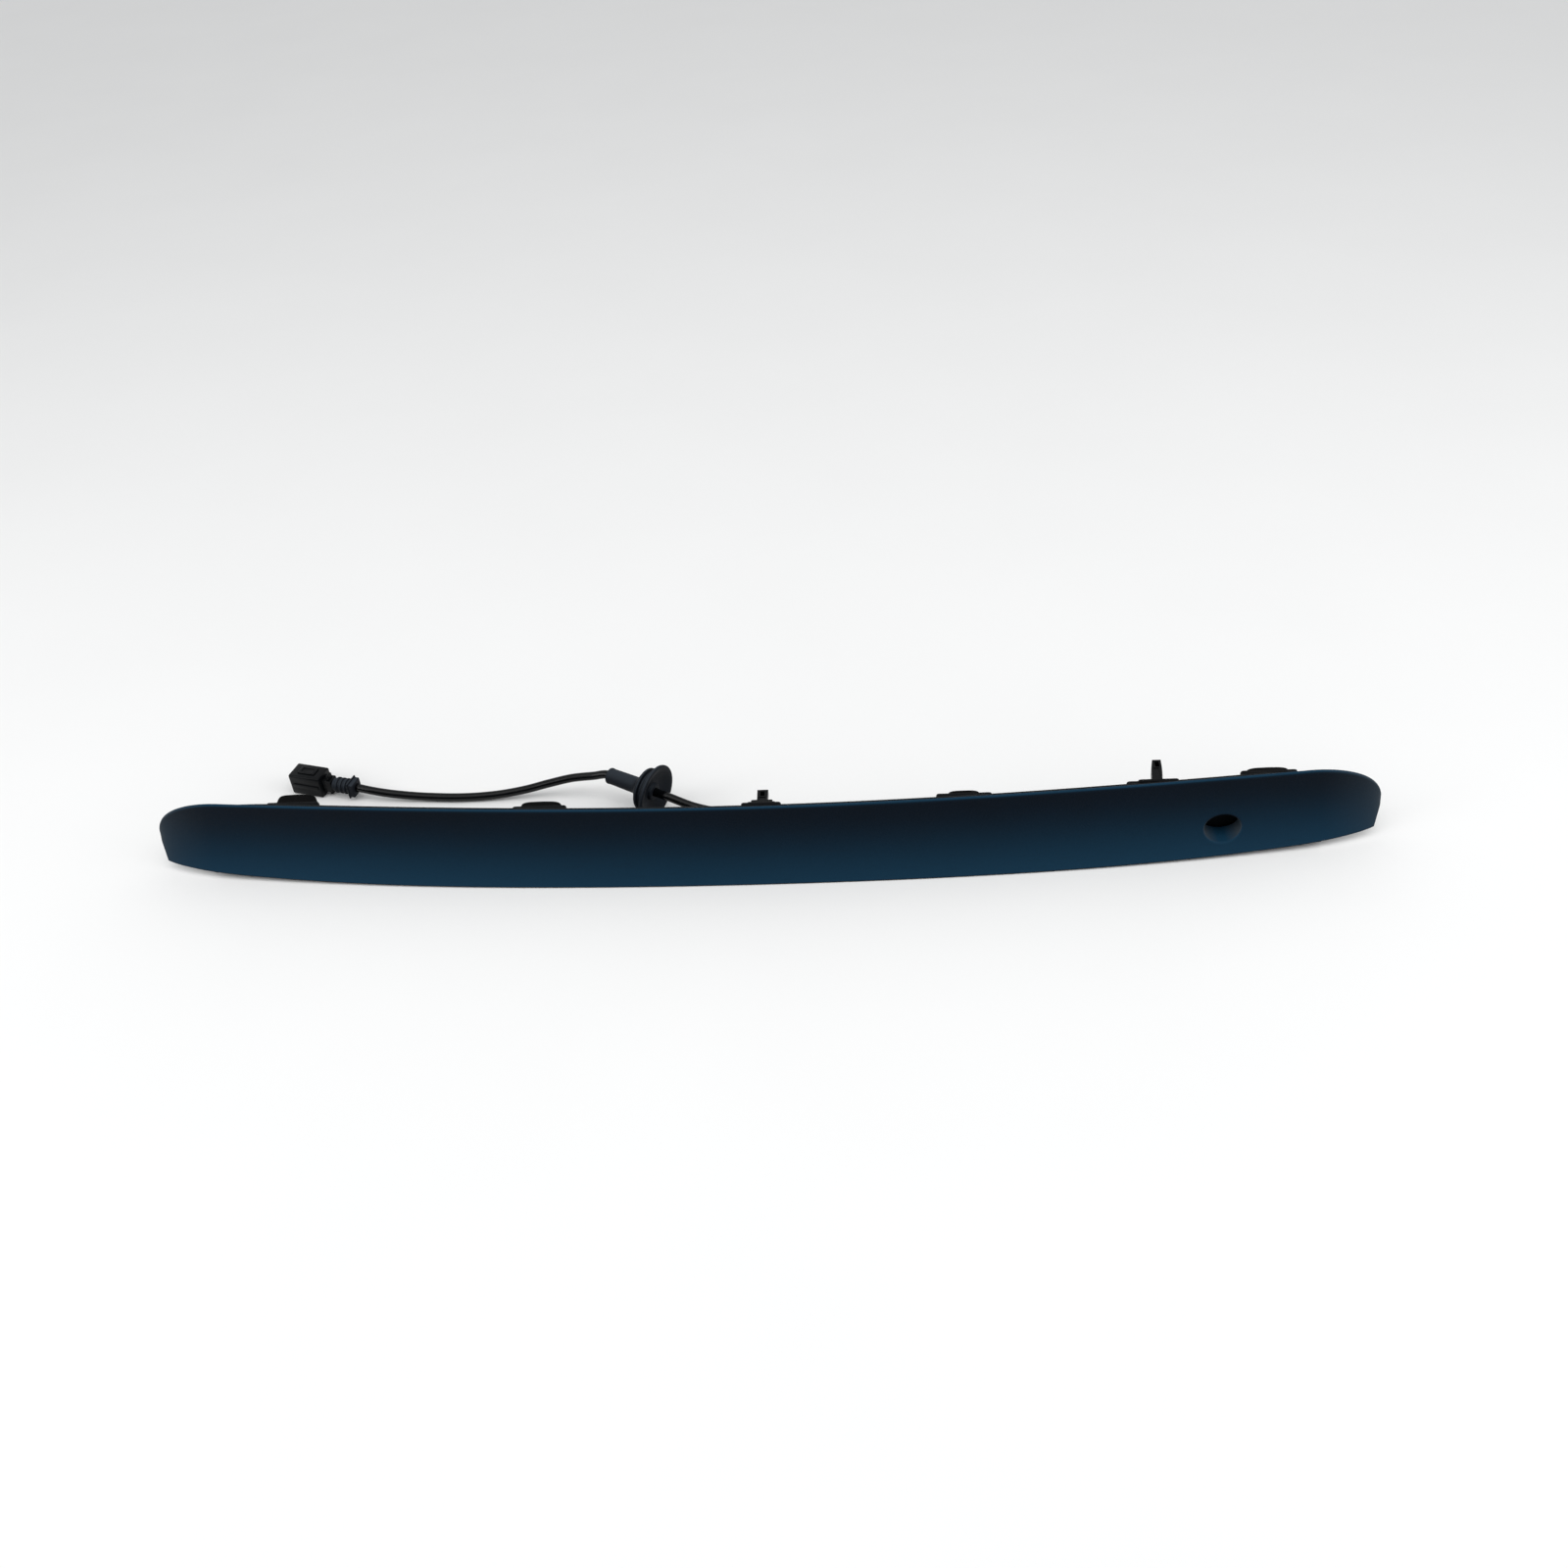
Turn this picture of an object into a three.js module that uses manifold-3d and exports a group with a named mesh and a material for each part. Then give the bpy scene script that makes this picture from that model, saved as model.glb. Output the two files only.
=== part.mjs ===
// Third brake light bar for a tailgate: a long moulded cover, a carrier clipped behind it,
// an LED lamp in the carrier's floor, and a lead with a body grommet and a plug.
// Millimetres. +X runs along the bar, the visible cover faces -Y, the fixings point to +Y,
// and +Z is up as the bar stands on its lip, with the red lens facing down.
import * as THREE from 'three';
import { mergeVertices } from 'three/addons/utils/BufferGeometryUtils.js';
import Module from 'manifold-3d';

const wasm = await Module();
wasm.setup();

// ---------- driving dimensions ----------
const barLength = 750;
const barHeight = 50;
const coverWall = 2.2;
const rimCentreY = -13.0; // the cover's top rim at mid length
const rimSweep = [27.6, -5.9]; // how far the rim runs back at the ends: square and fourth power
const lipReach = 13.5; // how far the lip stands in front of the rim at mid length
const lipSweep = [17.9, 3.2];
const lipLift = 6.0; // the lip's rise at the ends
const cornerRun = 49.3; // the rounded top corners of the outline
const cornerDrop = 32;
const endSlant = 4.5; // the end edges lean in by this much towards the lip
const endWrap = 9.5; // the ends curl back by this much
const endWrapRun = 55;
const carrierWall = 2;
const carrierDepth = 9; // the carrier's back face behind the rim
const carrierTop = 46;
const carrierHalf = 338;
const gap = 0.35; // between touching pieces

const nozzle = { x: 279, z: 16.5, halfWidth: 10.8, halfHeight: 7.6, wall: 1.6 };
const gland = { x: 4, z: 22, radius: 5.5 };
const fixings = [
  { name: 'left_outer', x: -282, sealWidth: 24, seal: 10.8 },
  { name: 'left_inner', x: -127, sealWidth: 25, seal: 7.4 },
  { name: 'right_inner', x: 127, sealWidth: 19, seal: 5.6 },
  { name: 'right_outer', x: 306, sealWidth: 25, seal: 5.8 },
];
const clips = [
  {
    name: 'centre', x: 7, flange: 17.3, flangeDepth: 2.6, step: 13, stepDepth: 3.4,
    width: 6.2, belly: 0, taper: -0.2, reach: 27.6, lean: 0, slot: 4,
  },
  {
    name: 'right', x: 241, flange: 19, flangeDepth: 1.6, step: 9, stepDepth: 0.6,
    width: 5.8, belly: 0.4, taper: 0.3, reach: 34.2, lean: 2.6, slot: 5,
  },
];
const restRibX = 227; // a small rib on the carrier's back, beside the right clip
const vent = { x: -100, z: 20, bore: 2.4 };
const fixingZ = 37.5;
const clipZ = fixingZ + 1;
const clipLand = 1.2; // the clips' lands stand this far off the carrier's back face
const landDepth = 2.2; // flat lands stand this far off the carrier's back face
const bossReach = 6; // bosses stand this far off the same face
const screwXs = [-329, -205, -66, 66, 190, 329];
const screwZ = 27;
const lampHalf = 146;
const ledCount = 12;
const ledPitch = 24;
const cableDiameter = 5.4;

const black = { color: 0x0b0f12, roughness: 0.55, metalness: 0 };
const finishes = {
  coverPlastic: { color: 0x16222b, roughness: 0.6, metalness: 0 },
  carrierPlastic: black,
  clipPlastic: { color: 0x12171a, roughness: 0.45, metalness: 0 },
  foam: { color: 0x0a0a0a, roughness: 0.95, metalness: 0 },
  rubber: { color: 0x15171b, roughness: 0.7, metalness: 0 },
  lensRed: { color: 0x9c0510, roughness: 0.1, metalness: 0 },
  reflector: { color: 0xc9ccce, roughness: 0.25, metalness: 0.6 },
  board: { color: 0x1d5a34, roughness: 0.5, metalness: 0 },
  led: { color: 0xd9d6c0, roughness: 0.4, metalness: 0 },
  chip: { color: 0x1b1b1c, roughness: 0.5, metalness: 0 },
  steel: { color: 0x8d9094, roughness: 0.35, metalness: 1 },
  brass: { color: 0xb08a45, roughness: 0.35, metalness: 1 },
  cableSheath: { color: 0x08090a, roughness: 0.3, metalness: 0 },
  wireRed: { color: 0x8f1512, roughness: 0.45, metalness: 0 },
  wireBrown: { color: 0x4a2c18, roughness: 0.45, metalness: 0 },
};

// ---------- the bar's surfaces ----------
const part = (x) => x / (barLength / 2);
const rimY = (x) => rimCentreY + rimSweep[0] * part(x) ** 2 + rimSweep[1] * part(x) ** 4;
const lipY = (x) =>
  rimCentreY - lipReach + lipSweep[0] * part(x) ** 2 + lipSweep[1] * part(x) ** 4;
const lipZ = (x) => lipLift * part(x) ** 4;
const backY = (x) => rimY(x) + carrierDepth;

// The cover's face: flared at the lip, upright above, curled back at the two ends.
function faceY(x, z) {
  const up = Math.min(Math.max(z / barHeight, 0), 1);
  const flare = 1 - (1 - up) ** 3;
  const past = Math.max(0, Math.abs(x) - (barLength / 2 - endWrapRun)) / endWrapRun;
  const curl = endWrap * (1 - Math.sqrt(Math.max(0, 1 - past ** 2)));
  return lipY(x) + (rimY(x) - lipY(x)) * flare + curl;
}

// The outline seen from the front: a straight top with rounded corners.
function outlineTop(x) {
  const past = Math.max(0, Math.abs(x) - (barLength / 2 - cornerRun)) / cornerRun;
  return barHeight - cornerDrop + cornerDrop * Math.sqrt(Math.max(0, 1 - past ** 2));
}

// The outline's lower edge: the lip, then the slanting end edge.
function outlineBottom(x) {
  const past = Math.max(0, Math.abs(x) - (barLength / 2 - endSlant)) / endSlant;
  return lipZ(x) + past * (barHeight - cornerDrop - lipZ(x));
}

// Stations along the bar, close together at the ends.
function stations(half, middleSteps, endSteps) {
  const bend = half - cornerRun;
  const right = [];
  for (let i = 1; i <= middleSteps / 2; i++) right.push((bend * 2 * i) / middleSteps);
  for (let i = 1; i <= endSteps; i++) {
    right.push(bend + cornerRun * Math.sin((Math.PI / 2) * (i / endSteps)));
  }
  return [...right.map((x) => -x).reverse(), 0, ...right];
}

const coverStations = stations(barLength / 2 - 0.4, 44, 9);

// ---------- solids ----------
// A solid from a geometry: seams merged, slivers on an axis dropped.
function solidOf(shape) {
  if (!shape.isBufferGeometry) return shape;
  const bare = new THREE.BufferGeometry();
  bare.setAttribute('position', shape.getAttribute('position').clone());
  if (shape.index) bare.setIndex(shape.index.clone());
  const merged = mergeVertices(bare, 1e-4);
  const corners = [];
  for (let i = 0; i < merged.index.count; i += 3) {
    const [a, b, c] = [0, 1, 2].map((k) => merged.index.getX(i + k));
    if (a !== b && b !== c && c !== a) corners.push(a, b, c);
  }
  return new wasm.Manifold(new wasm.Mesh({
    numProp: 3,
    vertProperties: merged.getAttribute('position').array,
    triVerts: new Uint32Array(corners),
  }));
}

function geometryOf(solid) {
  const mesh = solid.getMesh();
  const geometry = new THREE.BufferGeometry();
  geometry.setAttribute('position', new THREE.Float32BufferAttribute(mesh.vertProperties, 3));
  geometry.setIndex(Array.from(mesh.triVerts));
  const faceted = geometry.toNonIndexed();
  faceted.computeVertexNormals();
  return faceted;
}

const join = (...shapes) => shapes.map(solidOf).reduce((a, b) => a.add(b));
const cut = (from, ...tools) => tools.map(solidOf).reduce((a, b) => a.subtract(b), solidOf(from));

// A closed solid through section loops: each loop lists [y, z] corners at one x.
function loft(xs, sectionAt) {
  const flat = (loop) => loop.map(([y, z]) => new THREE.Vector2(y, z));
  const inOrder = (loop) => (THREE.ShapeUtils.area(flat(loop)) > 0 ? loop : loop.reverse());
  const loops = xs.map((x) => inOrder(sectionAt(x)));
  const count = loops[0].length;
  const corners = [];
  for (let i = 0; i < xs.length - 1; i++) {
    for (let k = 0; k < count; k++) {
      const a = i * count + k;
      const b = i * count + ((k + 1) % count);
      corners.push(a, b, b + count, a, b + count, a + count);
    }
  }
  const capOf = (loop) => THREE.ShapeUtils.triangulateShape(flat(loop), []).map((corner) => {
    const turn = THREE.ShapeUtils.area(flat(corner.map((k) => loop[k])));
    return turn > 0 ? corner : [...corner].reverse();
  });
  const last = (xs.length - 1) * count;
  for (const [i, j, k] of capOf(loops[0])) corners.push(k, j, i);
  for (const [i, j, k] of capOf(loops.at(-1))) corners.push(last + i, last + j, last + k);
  const geometry = new THREE.BufferGeometry();
  const positions = loops.flatMap((loop, i) => loop.flatMap(([y, z]) => [xs[i], y, z]));
  geometry.setAttribute('position', new THREE.Float32BufferAttribute(positions, 3));
  geometry.setIndex(corners);
  return geometry;
}

function box(x0, x1, y0, y1, z0, z1) {
  return new THREE.BoxGeometry(x1 - x0, y1 - y0, z1 - z0)
    .translate((x0 + x1) / 2, (y0 + y1) / 2, (z0 + z1) / 2);
}

// A round bar along +Y from y0 to y1.
function rod(x, z, radius, y0, y1, sides = 20) {
  return new THREE.CylinderGeometry(radius, radius, y1 - y0, sides).translate(x, (y0 + y1) / 2, z);
}

// A flat outline in the XZ plane, pushed along +Y from y0 to y1.
function slab(shape, y0, y1, curveSegments = 6) {
  return new THREE.ExtrudeGeometry(shape, { depth: y1 - y0, bevelEnabled: false, curveSegments })
    .rotateX(Math.PI / 2)
    .translate(0, y1, 0);
}

function roundedRectangle(width, height, radius, cx = 0, cz = 0) {
  const [w, h] = [width / 2, height / 2];
  const shape = new THREE.Shape();
  shape.moveTo(cx - w + radius, cz - h);
  shape.lineTo(cx + w - radius, cz - h);
  shape.absarc(cx + w - radius, cz - h + radius, radius, -Math.PI / 2, 0);
  shape.lineTo(cx + w, cz + h - radius);
  shape.absarc(cx + w - radius, cz + h - radius, radius, 0, Math.PI / 2);
  shape.lineTo(cx - w + radius, cz + h);
  shape.absarc(cx - w + radius, cz + h - radius, radius, Math.PI / 2, Math.PI);
  shape.lineTo(cx - w, cz - h + radius);
  shape.absarc(cx - w + radius, cz - h + radius, radius, Math.PI, 1.5 * Math.PI);
  return shape;
}

function ellipse(x, z, halfWidth, halfHeight) {
  const shape = new THREE.Shape();
  shape.absellipse(x, z, halfWidth, halfHeight, 0, 2 * Math.PI);
  return shape;
}

// A tube of round section along a smooth line through points.
function tube(points, radius, steps, sides) {
  const section = new THREE.Shape();
  section.absarc(0, 0, radius, 0, 2 * Math.PI);
  const path = new THREE.CatmullRomCurve3(points.map((p) => new THREE.Vector3(...p)), false, 'centripetal');
  return new THREE.ExtrudeGeometry(section, { steps, extrudePath: path, curveSegments: sides });
}

// A turned piece about +Y: the profile lists [radius, height] and closes on itself.
function turned(profile, sides) {
  const points = [...profile, profile[0]].map(([r, h]) => new THREE.Vector2(r, h));
  const inOrder = THREE.ShapeUtils.area(points) > 0 ? points : points.reverse();
  return new THREE.LatheGeometry(inOrder, sides);
}

function piece(parent, name, finish, shape) {
  const mesh = new THREE.Mesh(geometryOf(solidOf(shape)), new THREE.MeshStandardMaterial(finishes[finish]));
  mesh.name = name;
  parent.add(mesh);
  return mesh;
}

const brakeLight = new THREE.Group();

// ---------- outer cover ----------
function outerCover() {
  const rows = 12;
  const section = (x) => {
    const low = outlineBottom(x);
    const high = outlineTop(x);
    const heights = Array.from({ length: rows + 1 }, (_, k) => low + ((high - low) * k) / rows);
    const front = heights.map((z) => [faceY(x, z), z]);
    const back = heights.map((z) => [faceY(x, z) + coverWall, z]).reverse();
    return [...front, ...back];
  };
  const shell = loft(coverStations, section);
  const innerBack = (at) => backY(at) - carrierWall;
  const bosses = screwXs.map((at) => rod(at, screwZ, 3.6, faceY(at, screwZ) + 1.2, innerBack(at) - gap, 14));
  const pilots = screwXs.map((at) => rod(at, screwZ, 1.9, faceY(at, screwZ) + 3.4, backY(at), 12));
  const { x, z, halfWidth, halfHeight, wall } = nozzle;
  const collarFront = faceY(x, z - halfHeight) + 1;
  const collarBack = innerBack(x) - 1.8;
  const collar = slab(ellipse(x, z, halfWidth + wall, halfHeight + wall), collarFront, collarBack, 14);
  const bore = slab(ellipse(x, z, halfWidth, halfHeight), lipY(0) - 20, backY(x) + 20, 14);
  // The collar follows the flare, so what would stand out in front of the face is cut away.
  const inFront = loft([x - 18, x - 6, x + 6, x + 18], (at) => {
    const heights = [2, 8, 14, 20, 26, 32];
    return [[rimY(at) - 60, 2], ...heights.map((h) => [faceY(at, h) + 0.6, h]), [rimY(at) - 60, 32]];
  });
  const trimmedCollar = cut(collar, inFront);
  return cut(join(shell, ...bosses, trimmedCollar), bore, ...pilots);
}

// ---------- carrier ----------
// The carrier's back wall runs on unbroken behind the cover's oval hole.
function carrier() {
  const floorFront = (x) => faceY(x, lipZ(x) + 1) + coverWall + 2 * gap;
  const topFront = (x) => faceY(x, carrierTop) + coverWall + gap;
  const channel = (x) => {
    const floor = lipZ(x);
    const back = backY(x);
    const w = carrierWall;
    return [
      [floorFront(x), floor], [back, floor], [back, carrierTop], [topFront(x), carrierTop],
      [topFront(x), carrierTop - w], [back - w, carrierTop - w], [back - w, floor + w],
      [floorFront(x) + w, floor + w],
    ];
  };
  const inner = coverStations.filter((x) => Math.abs(x) < carrierHalf - 2);
  const rail = loft([-carrierHalf, ...inner, carrierHalf], channel);
  const endWalls = [-1, 1].map((side) => {
    const ends = [side * (carrierHalf - carrierWall), side * carrierHalf].sort((a, b) => a - b);
    const heights = [3, 12, 21, 30, 38, carrierTop];
    return loft(ends, (x) => [
      [backY(x) - 0.5, 3], [backY(x) - 0.5, carrierTop],
      ...heights.map((z) => [faceY(x, z) + coverWall + 2 * gap, z]).reverse(),
    ]);
  });
  const lands = fixings.flatMap(({ x }) => [
    slab(roundedRectangle(33, 15, 2, x, fixingZ), backY(x) - 2.6, backY(x) + landDepth, 3),
    rod(x, fixingZ, 5.4, backY(x) - 4, backY(x) + bossReach, 20),
  ]);
  const clipLands = clips.map(({ x }) => (
    slab(roundedRectangle(24, 15, 2, x, clipZ), backY(x) - 2.2, backY(x) + clipLand, 3)
  ));
  const screwLands = screwXs.map((x) => rod(x, screwZ, 5, backY(x) - 1.8, backY(x) + 0.9, 18));
  const ribBack = backY(restRibX);
  const restRib = slab(roundedRectangle(9, 7, 2, restRibX, carrierTop - 5), ribBack - 1.5, ribBack + 2.6, 3);
  const solid = join(rail, ...endWalls, ...lands, ...clipLands, ...screwLands, restRib);
  const insertBores = fixings.map(({ x }) => rod(x, fixingZ, 3.5 + gap, backY(x) - 5, backY(x) + 20, 20));
  const clipBores = clips.map(({ x }) => (
    box(x - 2.6, x + 2.6, backY(x) - 6, backY(x) + 4, clipZ - 1.6, clipZ + 1.6)
  ));
  const screwBores = screwXs.map((x) => rod(x, screwZ, 2.1, backY(x) - 8, backY(x) + 6, 14));
  const glandBore = rod(gland.x, gland.z, gland.radius, backY(gland.x) - 8, backY(gland.x) + 4, 24);
  const ventBore = rod(vent.x, vent.z, vent.bore, backY(vent.x) - 8, backY(vent.x) + 4, 14);
  const lensWindow = lampStrip(-lampHalf + 2, lampHalf - 2, -5.5, 4.8, -2, 4);
  return cut(solid, ...insertBores, ...clipBores, ...screwBores, glandBore, ventBore, lensWindow);
}

// ---------- lamp ----------
// The lamp's middle line follows the bar's sweep, just behind the lip.
const lampY = (x) => rimY(x) + 0.3;

// A strip along the lamp: offsets y0 and y1 from the lamp's middle line.
function lampStrip(x0, x1, y0, y1, z0, z1, steps = 12) {
  const xs = Array.from({ length: steps + 1 }, (_, i) => x0 + ((x1 - x0) * i) / steps);
  return loft(xs, (x) => [
    [lampY(x) + y0, z0], [lampY(x) + y1, z0], [lampY(x) + y1, z1], [lampY(x) + y0, z1],
  ]);
}

const ledXs = Array.from({ length: ledCount }, (_, i) => (i - (ledCount - 1) / 2) * ledPitch);
const boardScrewXs = [-120, 0, 120];

function lens() {
  const flange = lampStrip(-lampHalf - 1, lampHalf + 1, -7.4, 6.3, 3.7, 5.1);
  const face = lampStrip(-lampHalf + 2.4, lampHalf - 2.4, -5.1, 4.4, 1.0, 4.0);
  const hollow = lampStrip(-lampHalf + 4, lampHalf - 4, -3.7, 3.0, 2.5, 8);
  return cut(join(flange, face), hollow);
}

function lensGasket() {
  const outer = lampStrip(-lampHalf - 1, lampHalf + 1, -7.4, 6.3, 2.3, 3.4);
  const inner = lampStrip(-lampHalf + 1.6, lampHalf - 1.6, -5.9, 5.0, 1, 5);
  return cut(outer, inner);
}

// White optic tray: one square cup round each LED, wide at the lens.
function reflector() {
  const tray = lampStrip(-lampHalf - 1, lampHalf + 1, -4.8, 5.2, 5.4, 9.4);
  const cups = ledXs.map((x) => new THREE.CylinderGeometry(3.3, 5.6, 5.2, 4)
    .rotateY(Math.PI / 4).rotateX(Math.PI / 2).scale(1.6, 1, 1).translate(x, lampY(x) - 0.2, 7.4));
  const screwBores = boardScrewXs.map((x) => new THREE.CylinderGeometry(1.3, 1.3, 8, 10)
    .rotateX(Math.PI / 2).translate(x, lampY(x) + 0.2, 7.4 + 4.2));
  return cut(tray, ...cups, ...screwBores);
}

function circuitBoard() {
  const board = lampStrip(-lampHalf + 2, lampHalf - 2, -3.8, 5.0, 9.8, 11.4);
  const holes = boardScrewXs.map((x) => new THREE.CylinderGeometry(1.4, 1.4, 6, 12)
    .rotateX(Math.PI / 2).translate(x, lampY(x) + 0.2, 10.6));
  return cut(board, ...holes);
}

function led(x) {
  const y = lampY(x) - 0.2;
  const body = box(x - 1.9, x + 1.9, y - 1.5, y + 1.5, 8.2, 9.45);
  const dome = new THREE.CylinderGeometry(1.1, 1.3, 0.6, 12).rotateX(-Math.PI / 2).translate(x, y, 8.05);
  return join(body, dome);
}

const boardScrew = (x) => join(
  new THREE.CylinderGeometry(2.1, 2.1, 1.5, 16).rotateX(Math.PI / 2).translate(x, lampY(x) + 0.2, 12.55),
  new THREE.CylinderGeometry(0.95, 0.95, 3.9, 10).rotateX(Math.PI / 2).translate(x, lampY(x) + 0.2, 10.1),
);

function addLamp(parent) {
  piece(parent, 'lens', 'lensRed', lens());
  piece(parent, 'lens_gasket', 'rubber', lensGasket());
  piece(parent, 'reflector', 'reflector', reflector());
  piece(parent, 'circuit_board', 'board', circuitBoard());
  ledXs.forEach((x, i) => piece(parent, `led_${i + 1}`, 'led', led(x)));
  boardScrewXs.forEach((x, i) => piece(parent, `board_screw_${i + 1}`, 'steel', boardScrew(x)));
  [-60, -36, 60].forEach((x, i) => piece(parent, `resistor_${i + 1}`, 'chip',
    box(x - 1.6, x + 1.6, lampY(x) - 0.6, lampY(x) + 1, 11.7, 12.4)));
  piece(parent, 'diode', 'chip', box(34, 38.4, lampY(36) - 1.2, lampY(36) + 1.4, 11.7, 13.8));
  const terminalY = lampY(-21);
  piece(parent, 'board_terminal', 'clipPlastic', box(-25, -17, terminalY - 1, terminalY + 4.4, 11.7, 16.4));
}

// ---------- fixings ----------
function foamSeal({ x, sealWidth, seal }) {
  const y0 = backY(x) + landDepth + gap;
  const outer = slab(roundedRectangle(sealWidth, 13, 4, x, fixingZ), y0, backY(x) + seal, 5);
  return cut(outer, rod(x, fixingZ, 5.4 + gap, y0 - 2, backY(x) + seal + 2, 20));
}

// A brass thread insert, sunk 0.3 mm below the boss's face.
function threadInsert({ x }) {
  const end = backY(x) + bossReach - 0.3;
  const body = rod(x, fixingZ, 3.5, end - 8, end, 20);
  const core = rod(x, fixingZ, 3.0, end - 6, end - 2, 20);
  const groove = cut(rod(x, fixingZ, 4, end - 4.6, end - 3.6, 20), core);
  return cut(body, groove, rod(x, fixingZ, 2.1, end - 7, end + 1, 16));
}

// A locating clip: a shank in the carrier, a stepped flange, and a post with a slot near its tip.
function locatingClip(clip) {
  const { x, flange, flangeDepth, step, stepDepth, width, belly, taper, reach, lean, slot } = clip;
  const base = backY(x) + clipLand + gap;
  const wide = slab(roundedRectangle(flange, 11, 1.5, x, clipZ), base, base + flangeDepth, 3);
  const stepEnd = base + flangeDepth - 0.1 + stepDepth;
  const narrow = slab(roundedRectangle(step, 8.4, 1, x, clipZ), base + flangeDepth - 0.1, stepEnd, 3);
  const shank = box(x - 2.2, x + 2.2, base - 6, base + 1, clipZ - 1.2, clipZ + 1.2);
  const tip = rimY(x) + reach;
  const half = width / 2;
  const side = new THREE.Shape();
  side.moveTo(-half, base + 1);
  side.lineTo(half, base + 1);
  side.lineTo(half + belly + lean / 2, (base + tip) / 2);
  side.lineTo(half - taper + lean, tip);
  side.lineTo(-half + taper + lean, tip);
  side.lineTo(-half - belly + lean / 2, (base + tip) / 2);
  const stem = new THREE.ExtrudeGeometry(side, { depth: 5.2, bevelEnabled: false })
    .translate(x, 0, clipZ - 2.6);
  const middle = x + lean * 0.9;
  const opening = box(middle - 1.3, middle + 1.3, tip - slot - 1.8, tip - 1.8, clipZ - 1, clipZ + 9);
  return cut(join(wide, narrow, shank, stem), opening);
}

function coverScrew(x) {
  const seat = backY(x) + 0.9 + 0.3;
  const head = turned([[0, 0], [3.6, 0], [3.6, 1.4], [2.6, 2.5], [0, 2.6]], 20).translate(x, seat, screwZ);
  const shaft = rod(x, screwZ, 1.45, seat - 7.2, seat + 0.5, 12);
  const recess = box(x - 1.9, x + 1.9, seat + 1.4, seat + 4, screwZ - 0.45, screwZ + 0.45);
  const recessAcross = box(x - 0.45, x + 0.45, seat + 1.4, seat + 4, screwZ - 1.9, screwZ + 1.9);
  return cut(join(head, shaft), recess, recessAcross);
}

function addFixings(parent) {
  for (const fixing of fixings) {
    piece(parent, `foam_seal_${fixing.name}`, 'foam', foamSeal(fixing));
    piece(parent, `thread_insert_${fixing.name}`, 'brass', threadInsert(fixing));
  }
  for (const clip of clips) piece(parent, `locating_clip_${clip.name}`, 'clipPlastic', locatingClip(clip));
  screwXs.forEach((x, i) => piece(parent, `cover_screw_${i + 1}`, 'steel', coverScrew(x)));
  const ventY = backY(vent.x) + gap;
  const cap = turned([[0, 0], [6, 0], [6, 1.5], [5, 2.2], [0, 2.2]], 20).translate(vent.x, ventY, vent.z);
  piece(parent, 'vent_cap', 'clipPlastic', join(cap, rod(vent.x, vent.z, 2.0, ventY - 5, ventY + 1, 12)));
}

// ---------- lead ----------
const grommetAt = [-67.4, 44.8, 18.7];
const grommetAxis = new THREE.Vector3(-0.885, 0.462, 0.05).normalize(); // towards the plug
const alongGrommet = (d) => grommetAt.map((v, i) => v + grommetAxis.getComponent(i) * d);
const plug = {
  yaw: THREE.MathUtils.degToRad(-15.5), length: 46, half: 7, under: 7.7, wall: 1.5,
  boxStart: -23.6, neckStart: -17.1, lock: -19.6,
};
const bootEnd = [-265, 70, plug.under + 0.3];

// Out of the gland, down to the grommet on the floor, and on along the floor to the plug.
const route = [
  [gland.x, backY(gland.x) - 4.5, gland.z],
  [gland.x, backY(gland.x) + 2, gland.z],
  [3, 7.5, 21.4],
  [-2.5, 15, 19],
  [-12, 22, 15.5],
  [-25, 27.8, 13.8],
  [-39.5, 32.4, 14.8],
  alongGrommet(-14),
  alongGrommet(-4),
  alongGrommet(12),
  alongGrommet(24),
  alongGrommet(33),
  [-106, 62.4, 17.7],
  [-120, 63.4, 15.7],
  [-136, 64, 11.4],
  [-152, 64, 6.9],
  [-169, 63.5, 4],
  [-185, 63, 3],
  [-200.6, 63, 3],
  [-209, 63.6, 3],
  [-222, 64.3, 3.6],
  [-233, 64.9, 4.6],
  [-243.5, 65.6, 5.9],
  [-254, 67, 7.3],
  bootEnd,
  [bootEnd[0] - 9.64, bootEnd[1] + 2.67, bootEnd[2]],
];

function glandPiece() {
  const r = gland.radius;
  const bore = cableDiameter / 2 + gap;
  const profile = [
    [bore, -4], [r + 1.6, -4], [r + 1.6, -2.3], [r - gap, -2.3], [r - gap, 0.3], [r + 2, 0.3],
    [r + 2, 2], [r - 0.6, 3.2], [4.2, 8], [bore, 8],
  ];
  return turned(profile, 24).translate(gland.x, backY(gland.x), gland.z);
}

// The body grommet: a sleeve, a wide lip, a groove, a smaller lip, and a hollow face.
function grommet() {
  const bore = cableDiameter / 2 + gap;
  const profile = [
    [bore, 31], [bore, -4], [5.2, -4], [5.6, -1.2], [10, -2.4], [15.5, -5.2], [17.4, -5.6],
    [18.2, -4.8], [18, -3.2], [12.4, -0.4], [12, 1.6], [14, 2.2], [13.8, 3.8], [10.4, 6.2], [6.6, 8.4],
    [5.4, 10.6], [5.2, 29.6], [4.8, 31],
  ];
  return turned(profile, 36);
}

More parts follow.
